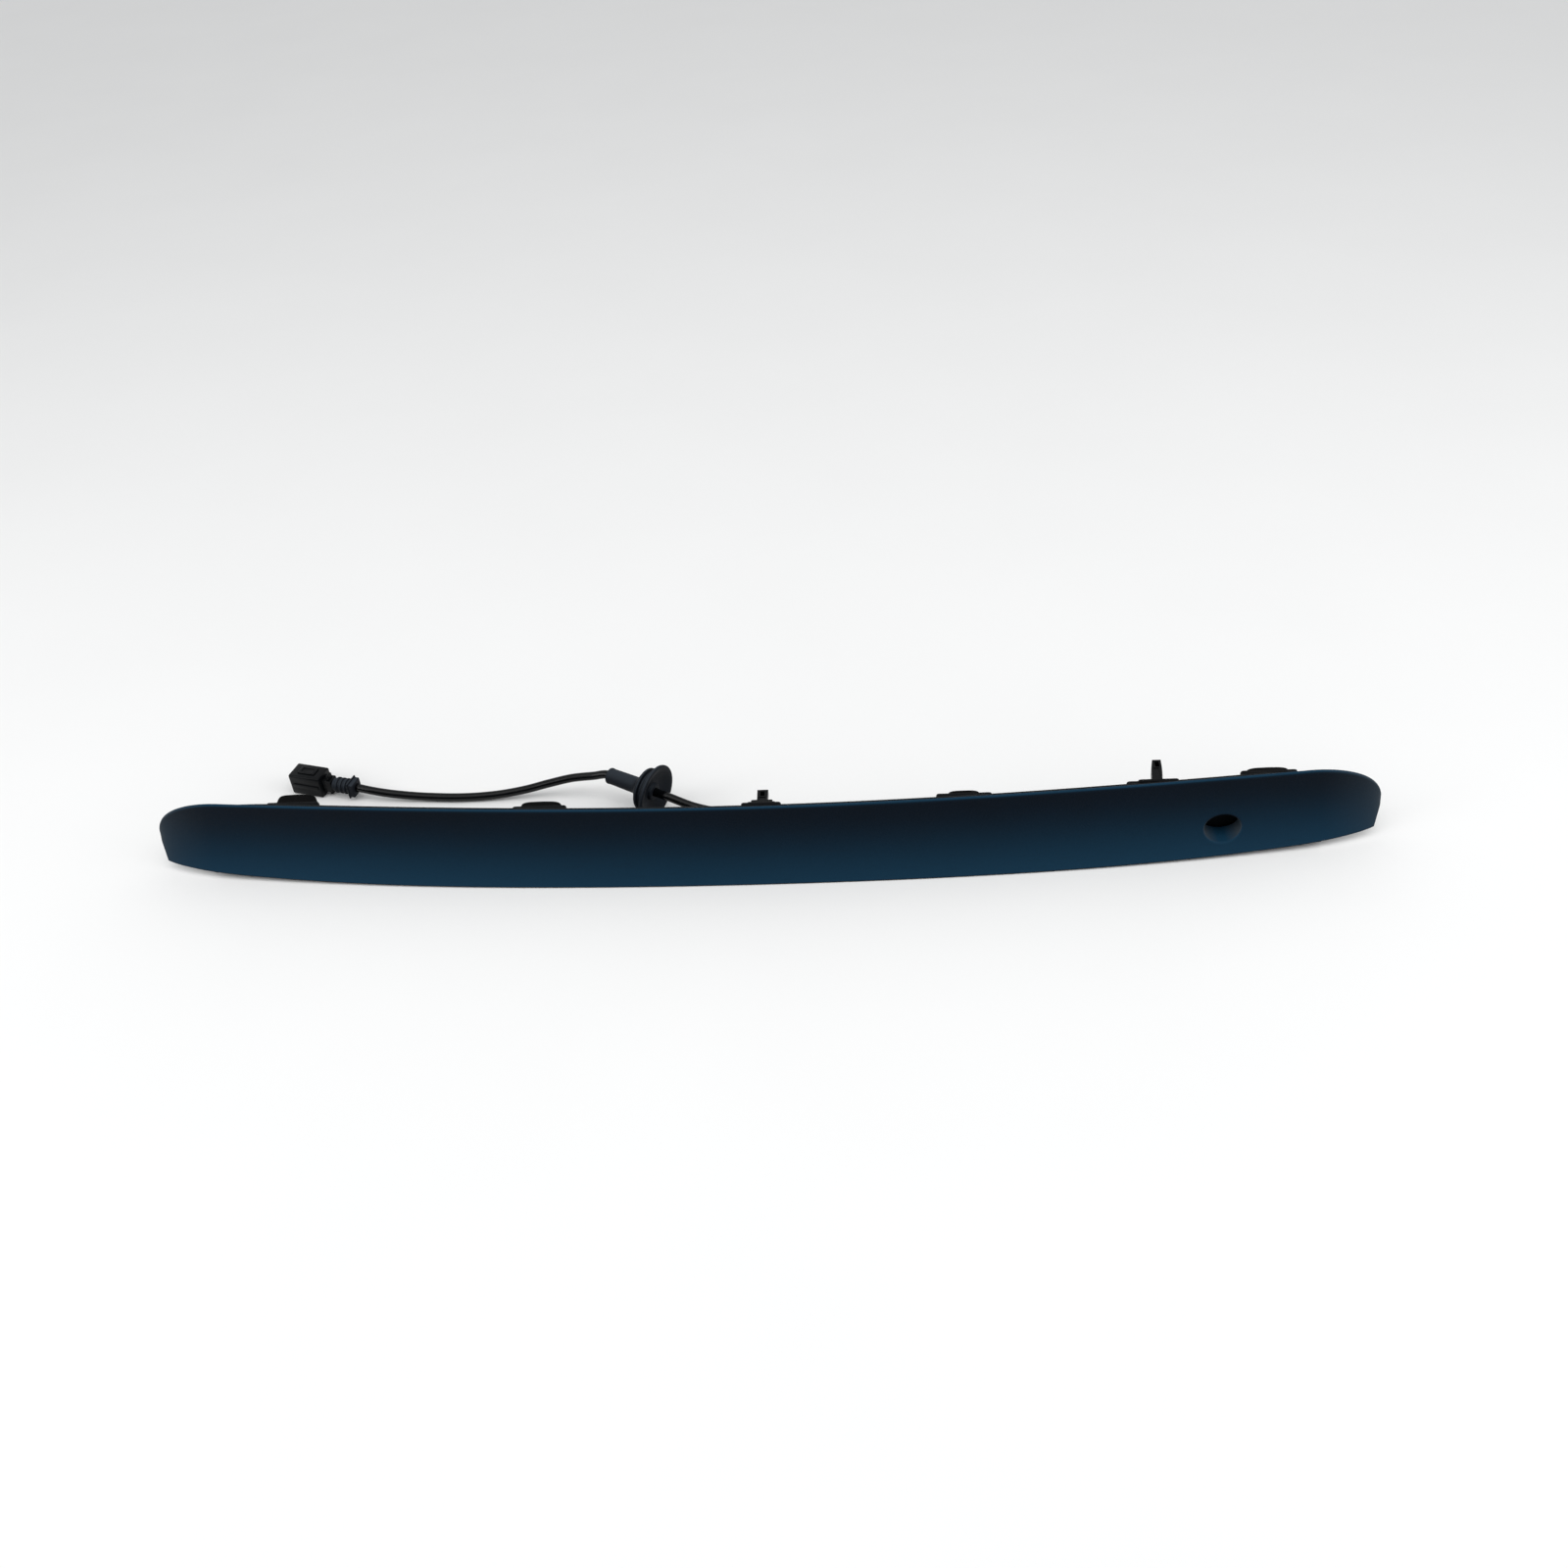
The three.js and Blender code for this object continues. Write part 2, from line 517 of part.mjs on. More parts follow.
// The plug lies along its own X axis: the boot's mouth at 0, the open socket at -plugLength.
function plugHousing() {
  const { half, under, boxStart, neckStart, wall } = plug;
  const shell = join(
    box(-plug.length, boxStart, -half, half, -under, under),
    box(boxStart - 1, neckStart, -3.9, 3.9, -4.3, 4.3),
    box(-plug.length + 2.4, boxStart - 1.4, -half - 0.8, -half + 0.5, -1.2, 1.2),
    box(-plug.length + 5, boxStart - 5, -3.4, 3.4, under - 0.5, under + 0.9),
  );
  const socket = box(-plug.length - 5, boxStart - 5, -half + wall, half - wall, -under + wall, under - wall);
  const noseBore = new THREE.CylinderGeometry(3.0, 3.0, 9, 16).rotateZ(Math.PI / 2).translate(-14.4, 0, 0);
  const lockSlot = box(plug.lock - 1, plug.lock + 1, -2.8, 2.8, -9, 9);
  const pinSlots = [-2.6, 2.6].map((y) => box(boxStart - 9, boxStart - 3, y - 0.7, y + 0.7, -1.7, 1.7));
  return cut(shell, socket, noseBore, lockSlot, ...pinSlots);
}

function plugBoot() {
  const bore = cableDiameter / 2 + gap;
  const ribAt = (at) => [[4.5, at - 1], [5.3, at - 0.6], [5.3, at + 0.6], [4.5, at + 1]];
  const ribs = [-13.4, -10.2, -7].flatMap(ribAt);
  const body = turned([
    [0, -18.3], [2.6, -18.3], [2.6, -16.6], [4.6, -16.6], ...ribs, [4.8, -3.4], [4.8, -1], [0, -1],
  ], 20).rotateZ(-Math.PI / 2);
  const flange = join(box(-4.4, 0, -4.9, 4.9, -4.9, 4.9), box(-4.4, -3.2, -5.5, 5.5, -5.8, 5.8));
  const cableBore = new THREE.CylinderGeometry(bore, bore, 26, 20).rotateZ(Math.PI / 2).translate(1, 0, 0);
  return cut(join(body, flange), cableBore);
}

function addPlug(parent) {
  const holder = new THREE.Group();
  holder.position.set(...bootEnd);
  holder.rotation.z = plug.yaw;
  parent.add(holder);
  piece(holder, 'plug_housing', 'clipPlastic', plugHousing());
  [-2.6, 2.6].forEach((y, i) => piece(holder, `contact_pin_${i + 1}`, 'brass',
    box(plug.boxStart - 16, plug.boxStart - 3.4, y - 0.35, y + 0.35, -1.35, 1.35)));
  piece(holder, 'terminal_lock', 'clipPlastic', cut(
    box(plug.lock - 0.7, plug.lock + 0.7, -2.4, 2.4, -7.3, 7.9),
    box(plug.lock - 2, plug.lock + 2, -1.3, 1.3, -2, 2),
  ));
  piece(holder, 'plug_boot', 'rubber', plugBoot());
}

function addLead(parent) {
  piece(parent, 'cable_gland', 'rubber', glandPiece());
  piece(parent, 'cable', 'cableSheath', tube(route, cableDiameter / 2, 48, 5));
  const holder = new THREE.Group();
  holder.position.set(...grommetAt);
  holder.quaternion.setFromUnitVectors(new THREE.Vector3(0, 1, 0), grommetAxis);
  parent.add(holder);
  piece(holder, 'grommet', 'rubber', grommet());
  addPlug(parent);
  // The two cores, from the end of the sheath down to the terminal on the board.
  const end = [gland.x, backY(gland.x) - 4.9, gland.z];
  [['core_red', 'wireRed', -1.3], ['core_brown', 'wireBrown', 1.3]].forEach(([name, finish, side]) => {
    piece(parent, name, finish, tube([
      [end[0], end[1], end[2] + side],
      [end[0] - 0.2, end[1] - 0.7, end[2] + side],
      [end[0] - 4, end[1] - 1.9, end[2] + side],
      [end[0] - 14, end[1] - 1.9, end[2] - 0.3 + side],
      [-20, lampY(-21) + 1.7 + side, 20.2],
      [-21, lampY(-21) + 1.7 + side, 16.8],
    ], 0.8, 14, 2));
  });
}

piece(brakeLight, 'outer_cover', 'coverPlastic', outerCover());
piece(brakeLight, 'carrier', 'carrierPlastic', carrier());
addLamp(brakeLight);
addFixings(brakeLight);
addLead(brakeLight);

export default brakeLight;
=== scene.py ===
"""The looks of a third brake light bar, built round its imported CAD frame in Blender 4.5.

Shapes are worked out in millimetres in the frame's own axes and stored in metres.
"""

import math

import bpy
import numpy as np
from mathutils import Euler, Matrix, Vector


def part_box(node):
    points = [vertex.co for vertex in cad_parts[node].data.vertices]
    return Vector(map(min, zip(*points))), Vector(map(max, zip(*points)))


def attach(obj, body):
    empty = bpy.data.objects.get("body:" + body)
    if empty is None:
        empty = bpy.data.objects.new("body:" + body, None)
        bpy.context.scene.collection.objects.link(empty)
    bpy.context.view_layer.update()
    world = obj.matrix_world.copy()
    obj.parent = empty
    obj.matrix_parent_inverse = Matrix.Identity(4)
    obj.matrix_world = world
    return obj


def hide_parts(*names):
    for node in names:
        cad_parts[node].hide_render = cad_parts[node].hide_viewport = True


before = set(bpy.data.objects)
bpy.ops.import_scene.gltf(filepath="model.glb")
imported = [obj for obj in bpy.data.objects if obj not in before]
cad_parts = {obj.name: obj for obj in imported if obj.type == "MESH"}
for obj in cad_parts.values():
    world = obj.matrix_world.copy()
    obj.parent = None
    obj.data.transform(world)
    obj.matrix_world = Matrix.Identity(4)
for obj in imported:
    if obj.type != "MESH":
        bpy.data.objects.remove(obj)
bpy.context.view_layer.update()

bl_info = {
    "name": "Third Brake Light Bar",
    "version": (1, 0, 0),
    "blender": (4, 5, 0),
    "location": "View3D > Sidebar > Brake Light",
    "description": "Builds a tailgate bar with a brake lamp, its fixings and its lead",
    "category": "Object",
}

MM = 0.001
BAR, LOCK = "bar", "lock"

# The bar's shape, in millimetres, as the CAD model has it.
HALF_LENGTH, HEIGHT = 375.0, 50.0
RIM_Y, RIM_SWEEP = -13.0, (27.6, -5.9)
LIP_REACH, LIP_SWEEP, LIP_LIFT = 13.5, (17.9, 3.2), 6.0
CORNER_RUN, CORNER_DROP, END_SLANT = 49.3, 32.0, 4.5
END_WRAP, END_WRAP_RUN = 9.5, 55.0
COVER_WALL = 2.2
CARRIER_WALL, CARRIER_DEPTH, CARRIER_TOP, CARRIER_HALF = 2.0, 9.0, 46.0, 338.0
GAP = 0.35
NOZZLE_X, NOZZLE_Z, NOZZLE_HALF, NOZZLE_WALL = 279.0, 16.5, (10.8, 7.6), 1.6
FIXING_X = {"left_outer": -282.0, "left_inner": -127.0, "right_inner": 127.0, "right_outer": 306.0}
FIXING_Z, LAND_DEPTH, BOSS_REACH, BOSS_RADIUS, BOSS_BORE = 37.5, 2.2, 6.0, 5.4, 3.85
CLIP_X, CLIP_Z, CLIP_LAND, CLIP_SLOT = {"centre": 7.0, "right": 241.0}, 38.5, 1.2, (5.2, 3.2)
REST_RIB_X = 227.0
SCREW_X, SCREW_Z, SCREW_LAND = (-329.0, -205.0, -66.0, 66.0, 190.0, 329.0), 27.0, 0.9
GLAND_X, GLAND_Z, GLAND_RADIUS = 4.0, 22.0, 5.5
VENT_X, VENT_Z, VENT_BORE = -100.0, 20.0, 2.4
LAMP_HALF = 146.0
PLUG_END, PLUG_YAW = (-265.0, 70.0, 8.0), math.radians(-15.5)
PLUG_LENGTH, PLUG_HALF, PLUG_UNDER, PLUG_WALL = 46.0, 7.0, 7.7, 1.5
PLUG_BOX, PLUG_NECK, PLUG_LOCK, PIN_PLACES = -23.6, -17.1, -19.6, (-2.6, 2.6)
GROMMET_AT, GROMMET_AXIS = (-67.4, 44.8, 18.7), (-0.88531, 0.46216, 0.05002)
CABLE_DIAMETER = 5.4

# Only in the looks: how far the carrier's top falls towards its ends, the window in the cover's grid that
# the nozzle's hole is drawn in, and the shallow ribs on the carrier's back.
CARRIER_FALL, CARRIER_FALL_START = 4.0, 290.0
NOZZLE_WINDOW = (16.5, 12.5)
RIB_SIZE, RIB_Z, RIB_PITCH, RIB_CLEARANCE = (1.6, 36.0), 23.5, 30.0, 19.0

# The raised lands on the carrier's back, and the opening in its floor for the lens: front, back, low, high.
FIXING_LAND, CLIP_LAND_SIZE, LAND_CORNER = (33.0, 15.0), (24.0, 15.0), 2.0
LENS_OPENING = (-5.5, 4.8, -2.0, 3.2)

# Each soft light's name, place and size, in metres, and the point they all face.
SOFT_LIGHTS = (
    ("overhead", (0.0, -0.35, 1.6), (2.4, 1.0)),
    ("left", (-1.4, -0.5, 0.9), (0.8, 0.8)),
    ("right", (1.4, -0.3, 0.9), (0.8, 0.8)),
)
LIGHT_AIM, FLOOR_REACH = (0, 0, 0.02), 6.0

# The lead's route in metres: out of the gland, down to the grommet, and on along the floor to the plug.
CABLE_ROUTE = (
    (0.004, -0.0085, 0.022), (0.004, -0.002, 0.022), (0.003, 0.0075, 0.0214), (-0.0025, 0.015, 0.019),
    (-0.012, 0.022, 0.0155), (-0.025, 0.0278, 0.0138), (-0.0395, 0.0324, 0.0148),
    (-0.05501, 0.03833, 0.018), (-0.06386, 0.04295, 0.0185), (-0.07802, 0.05035, 0.0193),
    (-0.08865, 0.05589, 0.0199), (-0.09662, 0.06005, 0.02035), (-0.106, 0.0624, 0.0177),
    (-0.12, 0.0634, 0.0157), (-0.136, 0.064, 0.0114), (-0.152, 0.064, 0.0069), (-0.169, 0.0635, 0.004),
    (-0.185, 0.063, 0.003), (-0.2006, 0.063, 0.003), (-0.209, 0.0636, 0.003), (-0.222, 0.0643, 0.0036),
    (-0.233, 0.0649, 0.0046), (-0.2435, 0.0656, 0.0059), (-0.254, 0.067, 0.0073), (-0.265, 0.07, 0.008),
    (-0.27464, 0.07267, 0.008),
)


# ---------------------------------------------------------------- settings

class BrakeLightShape(bpy.types.PropertyGroup):
    """Fineness and edge sizes of the moulded pieces."""

    stations: bpy.props.IntProperty(
        name="Stations", description="Sections along the cover", default=200, min=40, max=600)
    rows: bpy.props.IntProperty(
        name="Rows", description="Rows up the cover's face", default=40, min=12, max=120)
    edge: bpy.props.FloatProperty(
        name="Edge radius", description="Rounding of moulded edges", default=0.0004,
        min=0.0001, max=0.001, precision=5, unit="LENGTH")
    turned_sides: bpy.props.IntProperty(
        name="Turned sides", description="Sides of turned pieces", default=72, min=24, max=192)


class BrakeLightFinish(bpy.types.PropertyGroup):
    """Colours of the main materials."""

    cover: bpy.props.FloatVectorProperty(
        name="Cover", description="Grained plastic of the cover", subtype="COLOR", size=3,
        min=0, max=1, default=(0.0012, 0.0040, 0.0085))
    plain: bpy.props.FloatVectorProperty(
        name="Black plastic", description="Carrier, clips and plug", subtype="COLOR", size=3,
        min=0, max=1, default=(0.0032, 0.0038, 0.0046))
    sheath: bpy.props.FloatVectorProperty(
        name="Sheath", description="Cable sheath", subtype="COLOR", size=3,
        min=0, max=1, default=(0.0022, 0.0025, 0.003))
    rubber: bpy.props.FloatVectorProperty(
        name="Rubber", description="Grommet, boot and gland", subtype="COLOR", size=3,
        min=0, max=1, default=(0.0042, 0.0062, 0.0098))
    lens: bpy.props.FloatVectorProperty(
        name="Lens", description="Red lens", subtype="COLOR", size=3,
        min=0, max=1, default=(0.62, 0.008, 0.012))


class BrakeLightStage(bpy.types.PropertyGroup):
    """Floor, lights and camera."""

    camera_place: bpy.props.FloatVectorProperty(
        name="Camera", description="Camera position", subtype="TRANSLATION", unit="LENGTH", size=3,
        default=(0.08619, -0.71446, 0.63796))
    camera_turn: bpy.props.FloatVectorProperty(
        name="Camera turn", description="Camera rotation", subtype="EULER", unit="ROTATION", size=3,
        default=(math.radians(50.881), math.radians(3.916), math.radians(2.0)))
    lens: bpy.props.FloatProperty(
        name="Focal length", description="Focal length on a 36 mm sensor, in millimetres",
        default=36.0, min=10, max=200)
    floor: bpy.props.FloatVectorProperty(
        name="Floor", description="Floor colour", subtype="COLOR", size=3, min=0, max=1,
        default=(0.89, 0.89, 0.885))
    overhead: bpy.props.FloatProperty(
        name="Overhead light", description="Power of the soft overhead light", default=10.0,
        min=0, max=200, unit="POWER")
    sides: bpy.props.FloatProperty(
        name="Side lights", description="Power of each soft side light", default=5.0,
        min=0, max=200, unit="POWER")
    sky: bpy.props.FloatProperty(
        name="Surroundings", description="Strength of the pale surroundings", default=0.7, min=0, max=5)


# ---------------------------------------------------------------- the bar's surfaces

def rim_y(x):
    """The top rim: it runs back from the middle by a square and a fourth power of x."""
    part = x / HALF_LENGTH
    return RIM_Y + RIM_SWEEP[0] * part**2 + RIM_SWEEP[1] * part**4


def lip_y(x):
    """The lip, in front of the rim at mid length and closer to it at the ends."""
    part = x / HALF_LENGTH
    return RIM_Y - LIP_REACH + LIP_SWEEP[0] * part**2 + LIP_SWEEP[1] * part**4


def lip_z(x):
    """The lip rises by a fourth power of x."""
    return LIP_LIFT * (x / HALF_LENGTH) ** 4


def back_y(x):
    """The carrier's back face, a fixed depth behind the rim."""
    return rim_y(x) + CARRIER_DEPTH


def face_y(x, z):
    """The cover's face: a cubic flare from lip to rim, and a circular curl back at the two ends."""
    up = np.clip(z / HEIGHT, 0, 1)
    flare = 1 - (1 - up) ** 3
    past = np.clip((np.abs(x) - (HALF_LENGTH - END_WRAP_RUN)) / END_WRAP_RUN, 0, 1)
    curl = END_WRAP * (1 - np.sqrt(1 - past**2))
    return lip_y(x) + (rim_y(x) - lip_y(x)) * flare + curl


def outline_top(x):
    """The upper outline: straight, then a quarter ellipse down each end."""
    past = np.clip((np.abs(x) - (HALF_LENGTH - CORNER_RUN)) / CORNER_RUN, 0, 1)
    return HEIGHT - CORNER_DROP + CORNER_DROP * np.sqrt(1 - past**2)


def outline_bottom(x):
    """The lower outline: the lip, then the slanting end edge."""
    past = np.clip((np.abs(x) - (HALF_LENGTH - END_SLANT)) / END_SLANT, 0, 1)
    return lip_z(x) + past * (HEIGHT - CORNER_DROP - lip_z(x))


def stations(half, middle, ends):
    """Places along the bar: even in the middle, and closing up towards the ends as a sine does."""
    bend = half - CORNER_RUN
    inner = np.linspace(-bend, bend, middle)
    outer = bend + CORNER_RUN * np.sin(np.linspace(0, math.pi / 2, ends + 1)[1:])
    return np.concatenate([-outer[::-1], inner, outer])


# ---------------------------------------------------------------- skins
# A skin is (points, quads, caps): points in millimetres, an array of quads, and a list of flat end caps.

def ring_quads(rows, columns, wrap=False):
    """Quads over a grid whose columns close round, and whose rows close too when wrap is set."""
    i = np.arange(rows if wrap else rows - 1)[:, None]
    j = np.arange(columns)[None, :]
    across, up = (j + 1) % columns, (i + 1) % rows
    corners = [i * columns + j, i * columns + across, up * columns + across, up * columns + j]
    return np.stack(corners, axis=-1).reshape(-1, 4)


def outward(points, quads, caps):
    """The same skin with its faces turned to point outwards, by the sign of the volume that they enclose."""
    fans = [np.stack([np.full(len(c) - 2, c[0]), c[1:-1], c[2:]], axis=1) for c in map(np.asarray, caps)]
    triangles = np.concatenate([quads[:, :3], quads[:, [0, 2, 3]], *fans])
    a, b, c = (points[triangles[:, k]] for k in range(3))
    if np.einsum("ij,ij->", a, np.cross(b, c)) < 0:
        quads, caps = quads[:, ::-1], [list(cap)[::-1] for cap in caps]
    return points, quads, caps


def ring_skin(rings, wrap=False):
    """A closed skin over rings of points, rings[row, column]. Its ends are closed flat unless it wraps."""
    rows, columns = rings.shape[:2]
    first, last = np.arange(columns), np.arange(columns) + (rows - 1) * columns
    caps = [] if wrap else [list(first[::-1]), list(last)]
    return outward(rings.reshape(-1, 3), ring_quads(rows, columns, wrap), caps)


def together(*skins):
    """Several skins as one."""
    starts = np.cumsum([0] + [len(s[0]) for s in skins[:-1]])
    points = np.concatenate([s[0] for s in skins])
    quads = np.concatenate([s[1] + n for s, n in zip(skins, starts)])
    caps = [[int(k) + int(n) for k in cap] for s, n in zip(skins, starts) for cap in s[2]]
    return points, quads, caps


def rounded(points, radius, steps=5):
    """A closed outline with each corner cut back by its radius and bridged by a parabola."""
    p = np.asarray(points, float)
    before, after = np.roll(p, 1, axis=0) - p, np.roll(p, -1, axis=0) - p
    long_before, long_after = np.linalg.norm(before, axis=1), np.linalg.norm(after, axis=1)
    reach = np.minimum(np.broadcast_to(radius, len(p)), 0.49 * np.minimum(long_before, long_after))
    start = p + before * (reach / long_before)[:, None]
    end = p + after * (reach / long_after)[:, None]
    t = np.linspace(0, 1, steps)[None, :, None]
    bridge = (1 - t) ** 2 * start[:, None] + 2 * t * (1 - t) * p[:, None] + t**2 * end[:, None]
    return bridge.reshape(-1, p.shape[1])


def rectangle(width, height, radius, centre=(0, 0), steps=6):
    """A rounded rectangle about a centre."""
    w, h = width / 2, height / 2
    corners = np.array([(-w, -h), (w, -h), (w, h), (-w, h)]) + centre
    return rounded(corners, radius, steps)


def ring_of(radius, sides, lobes=0, depth=0.0):
    """A circle; with lobes, its radius swells and shrinks as a cosine."""
    angle = np.linspace(0, 2 * math.pi, sides, endpoint=False)
    swell = radius * (1 + depth * np.cos(lobes * angle))
    return np.stack([swell * np.cos(angle), swell * np.sin(angle)], axis=1)


def inset(outline, distance):
    """A closed outline, counterclockwise, moved inwards along its mitred corner normals."""
    edge = np.roll(outline, -1, axis=0) - outline
    edge /= np.maximum(np.linalg.norm(edge, axis=1), 1e-9)[:, None]
    normal = np.stack([edge[:, 1], -edge[:, 0]], axis=1)
    before = np.roll(normal, 1, axis=0)
    mitre = (normal + before) / np.maximum(1 + (normal * before).sum(1), 0.2)[:, None]
    return outline - mitre * distance


def placed(rings, origin=(0, 0, 0), axes=((1, 0, 0), (0, 1, 0), (0, 0, 1))):
    """Local coordinates laid along three axes from an origin."""
    return rings @ np.asarray(axes, float) + np.asarray(origin, float)


# An outline drawn as (x, z) and pushed along y.
TO_BACK = ((1, 0, 0), (0, 0, 1), (0, 1, 0))


def layers(outlines, levels):
    """Outlines stacked at their levels, as rings."""
    flat = np.stack(outlines)
    height = np.broadcast_to(np.asarray(levels, float)[:, None], flat.shape[:2])
    return np.concatenate([flat, height[..., None]], axis=2)


def prism(outline, low, high, edge, origin=(0, 0, 0), axes=TO_BACK, steps=4):
    """An outline pushed from low to high, its two end edges rounded by a quarter circle."""
    turn = np.linspace(math.pi / 2, 0, steps)
    shrink, rise = edge * (1 - np.cos(turn)), edge * (1 - np.sin(turn))
    insets = np.concatenate([shrink, shrink[::-1]])
    levels = np.concatenate([low + rise, high - rise[::-1]])
    return ring_skin(placed(layers([inset(outline, d) for d in insets], levels), origin, axes))


def turned(profile, sides, origin, axes=TO_BACK, wrap=True, flutes=(0, 0, 0)):
    """A profile of (radius, height) turned about its height axis. It wraps, or is closed flat at both ends.

    Flutes are (radius, depth, count): a cosine round the axis, wherever the profile is wider than radius.
    """
    profile = np.asarray(profile, float)
    wider_than, depth, count = flutes
    angle = np.linspace(0, 2 * math.pi, sides, endpoint=False)
    radius = profile[:, :1] + np.where(profile[:, :1] > wider_than, depth, 0) * np.cos(count * angle)
    level = np.broadcast_to(profile[:, 1:], radius.shape)
    rings = np.stack([radius * np.cos(angle), radius * np.sin(angle), level], axis=2)
    return ring_skin(placed(rings, origin, axes), wrap)


def box_skin(x, y, z):
    """A plain box between pairs of limits, for cutting."""
    outline = np.array([(x[0], z[0]), (x[1], z[0]), (x[1], z[1]), (x[0], z[1])])
    return ring_skin(placed(layers([outline, outline], y), axes=TO_BACK))


def smooth_path(points, per_span):
    """A centripetal Catmull-Rom curve: cubic spans whose end slopes come from the gaps' square roots."""
    p = np.asarray(points, float)
    p = np.concatenate([[2 * p[0] - p[1]], p, [2 * p[-1] - p[-2]]])
    gap = np.linalg.norm(np.diff(p, axis=0), axis=1) ** 0.5
    a, b, c, d = p[:-3], p[1:-2], p[2:-1], p[3:]
    g0, g1, g2 = (gap[k:len(gap) - 2 + k, None] for k in range(3))
    leave = ((b - a) / g0 - (c - a) / (g0 + g1) + (c - b) / g1) * g1
    arrive = ((c - b) / g1 - (d - b) / (g1 + g2) + (d - c) / g2) * g1
    t = np.linspace(0, 1, per_span, endpoint=False)[None, :, None]
    blend = [2 * t**3 - 3 * t**2 + 1, t**3 - 2 * t**2 + t, 3 * t**2 - 2 * t**3, t**3 - t**2]
    spans = sum(w * v[:, None] for w, v in zip(blend, (b, leave, c, arrive)))
    return np.concatenate([spans.reshape(-1, 3), p[-2:-1]])


def tube(path, radius, sides):
    """A round tube along a path that is never upright: its rings stand square to the path."""
    along = np.gradient(path, axis=0)
    along /= np.linalg.norm(along, axis=1)[:, None]
    side = np.cross(along, (0, 0, 1))
    side /= np.linalg.norm(side, axis=1)[:, None]
    up = np.cross(side, along)
    angle = np.linspace(0, 2 * math.pi, sides, endpoint=False)[None, :, None]
    ring = np.cos(angle) * side[:, None] + np.sin(angle) * up[:, None]
    return ring_skin(path[:, None] + np.broadcast_to(radius, len(path))[:, None, None] * ring)


# ---------------------------------------------------------------- pieces

def mesh_object(name, skin):
    """A Blender object at the origin that holds a skin, in metres."""
    points, quads, caps = skin
    mesh = bpy.data.meshes.new(name)
    faces = np.asarray(quads).tolist() + [[int(k) for k in cap] for cap in caps]
    mesh.from_pydata((np.asarray(points) * MM).tolist(), [], faces)
    made = bpy.data.objects.new(name, mesh)
    bpy.context.scene.collection.objects.link(made)
    return made


def finish_piece(made, finish, nodes=(), body=BAR, sharp=32):
    """Shades a piece smooth up to a sharp angle, gives it its material and joins it to its body."""
    made.data.polygons.foreach_set("use_smooth", np.ones(len(made.data.polygons), bool))
    made.data.set_sharp_from_angle(angle=math.radians(sharp))
    made.data.materials.clear()
    made.data.materials.append(material(finish))
    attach(made, body)
    if nodes:
        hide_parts(*nodes)
    return made


def add_piece(name, skin, finish, nodes=(), **options):
    """A skin made into an object and finished."""
    return finish_piece(mesh_object(name, skin), finish, nodes, **options)


def carved(name, skin, *steps):
    """A skin with others joined to it or cut from it: steps are ("UNION" or "DIFFERENCE", skins)."""
    made = mesh_object(name, skin)
    tools = []
    for operation, skins in steps:
        tool = mesh_object(f"{name}_tool", together(*skins))
        tools.append(tool)
        change = made.modifiers.new(operation, "BOOLEAN")
        change.operation, change.object, change.solver = operation, tool, "MANIFOLD"
    view = bpy.context.evaluated_depsgraph_get()
    result = bpy.data.meshes.new_from_object(made.evaluated_get(view), depsgraph=view)
    made.modifiers.clear()
    made.data = result
    for tool in tools:
        bpy.data.objects.remove(tool)
    return made


# ---------------------------------------------------------------- shader groups

def new_group(name, inputs, outputs):
    """A shader node group with float or vector inputs and float outputs."""
    group = bpy.data.node_groups.new(name, "ShaderNodeTree")
    for label, kind, value in inputs:
        socket = group.interface.new_socket(label, in_out="INPUT", socket_type=kind)
        if value is not None:
            socket.default_value = value
    for label in outputs:
        group.interface.new_socket(label, in_out="OUTPUT", socket_type="NodeSocketFloat")
    return group, group.nodes.new("NodeGroupInput"), group.nodes.new("NodeGroupOutput")


def add_node(tree, kind, settings=None, **inputs):
    """A node with its properties set and its inputs set or linked: i6 is the input numbered 6."""
    node = tree.nodes.new(kind)
    for key, value in (settings or {}).items():
        setattr(node, key, value)
    for label, value in inputs.items():
        numbered = label[0] == "i" and label[1:].isdigit()
        socket = node.inputs[int(label[1:]) if numbered else label]
        if isinstance(value, bpy.types.NodeSocket):
            tree.links.new(value, socket)
        else:
            socket.default_value = value
    return node


def arithmetic(tree, operation, *values):
    """The result of one sum or comparison."""
    inputs = {f"i{k}": v for k, v in enumerate(values)}
    return add_node(tree, "ShaderNodeMath", {"operation": operation}, **inputs).outputs[0]


def ranged(tree, value, low, high, to_low=0.0, to_high=1.0):
    """A value carried from one range to another, and held at its ends."""
    limits = {"From Min": low, "From Max": high, "To Min": to_low, "To Max": to_high}
    return add_node(tree, "ShaderNodeMapRange", Value=value, **limits).outputs[0]


def mixed(tree, mask, first, second):
    """Two colours mixed by a mask: the first is a socket or a colour, and the second a colour."""
    first = first if isinstance(first, bpy.types.NodeSocket) else (*first, 1)
    node = add_node(tree, "ShaderNodeMix", {"data_type": "RGBA"}, Factor=mask, i6=first, i7=(*second, 1))
    return node.outputs[2]


def new_material(name):
    """A node material, its tree, its shader and its texture coordinates."""
    made = bpy.data.materials.new(name)
    made.use_nodes = True
    tree = made.node_tree
    return made, tree, tree.nodes["Principled BSDF"], add_node(tree, "ShaderNodeTexCoord").outputs


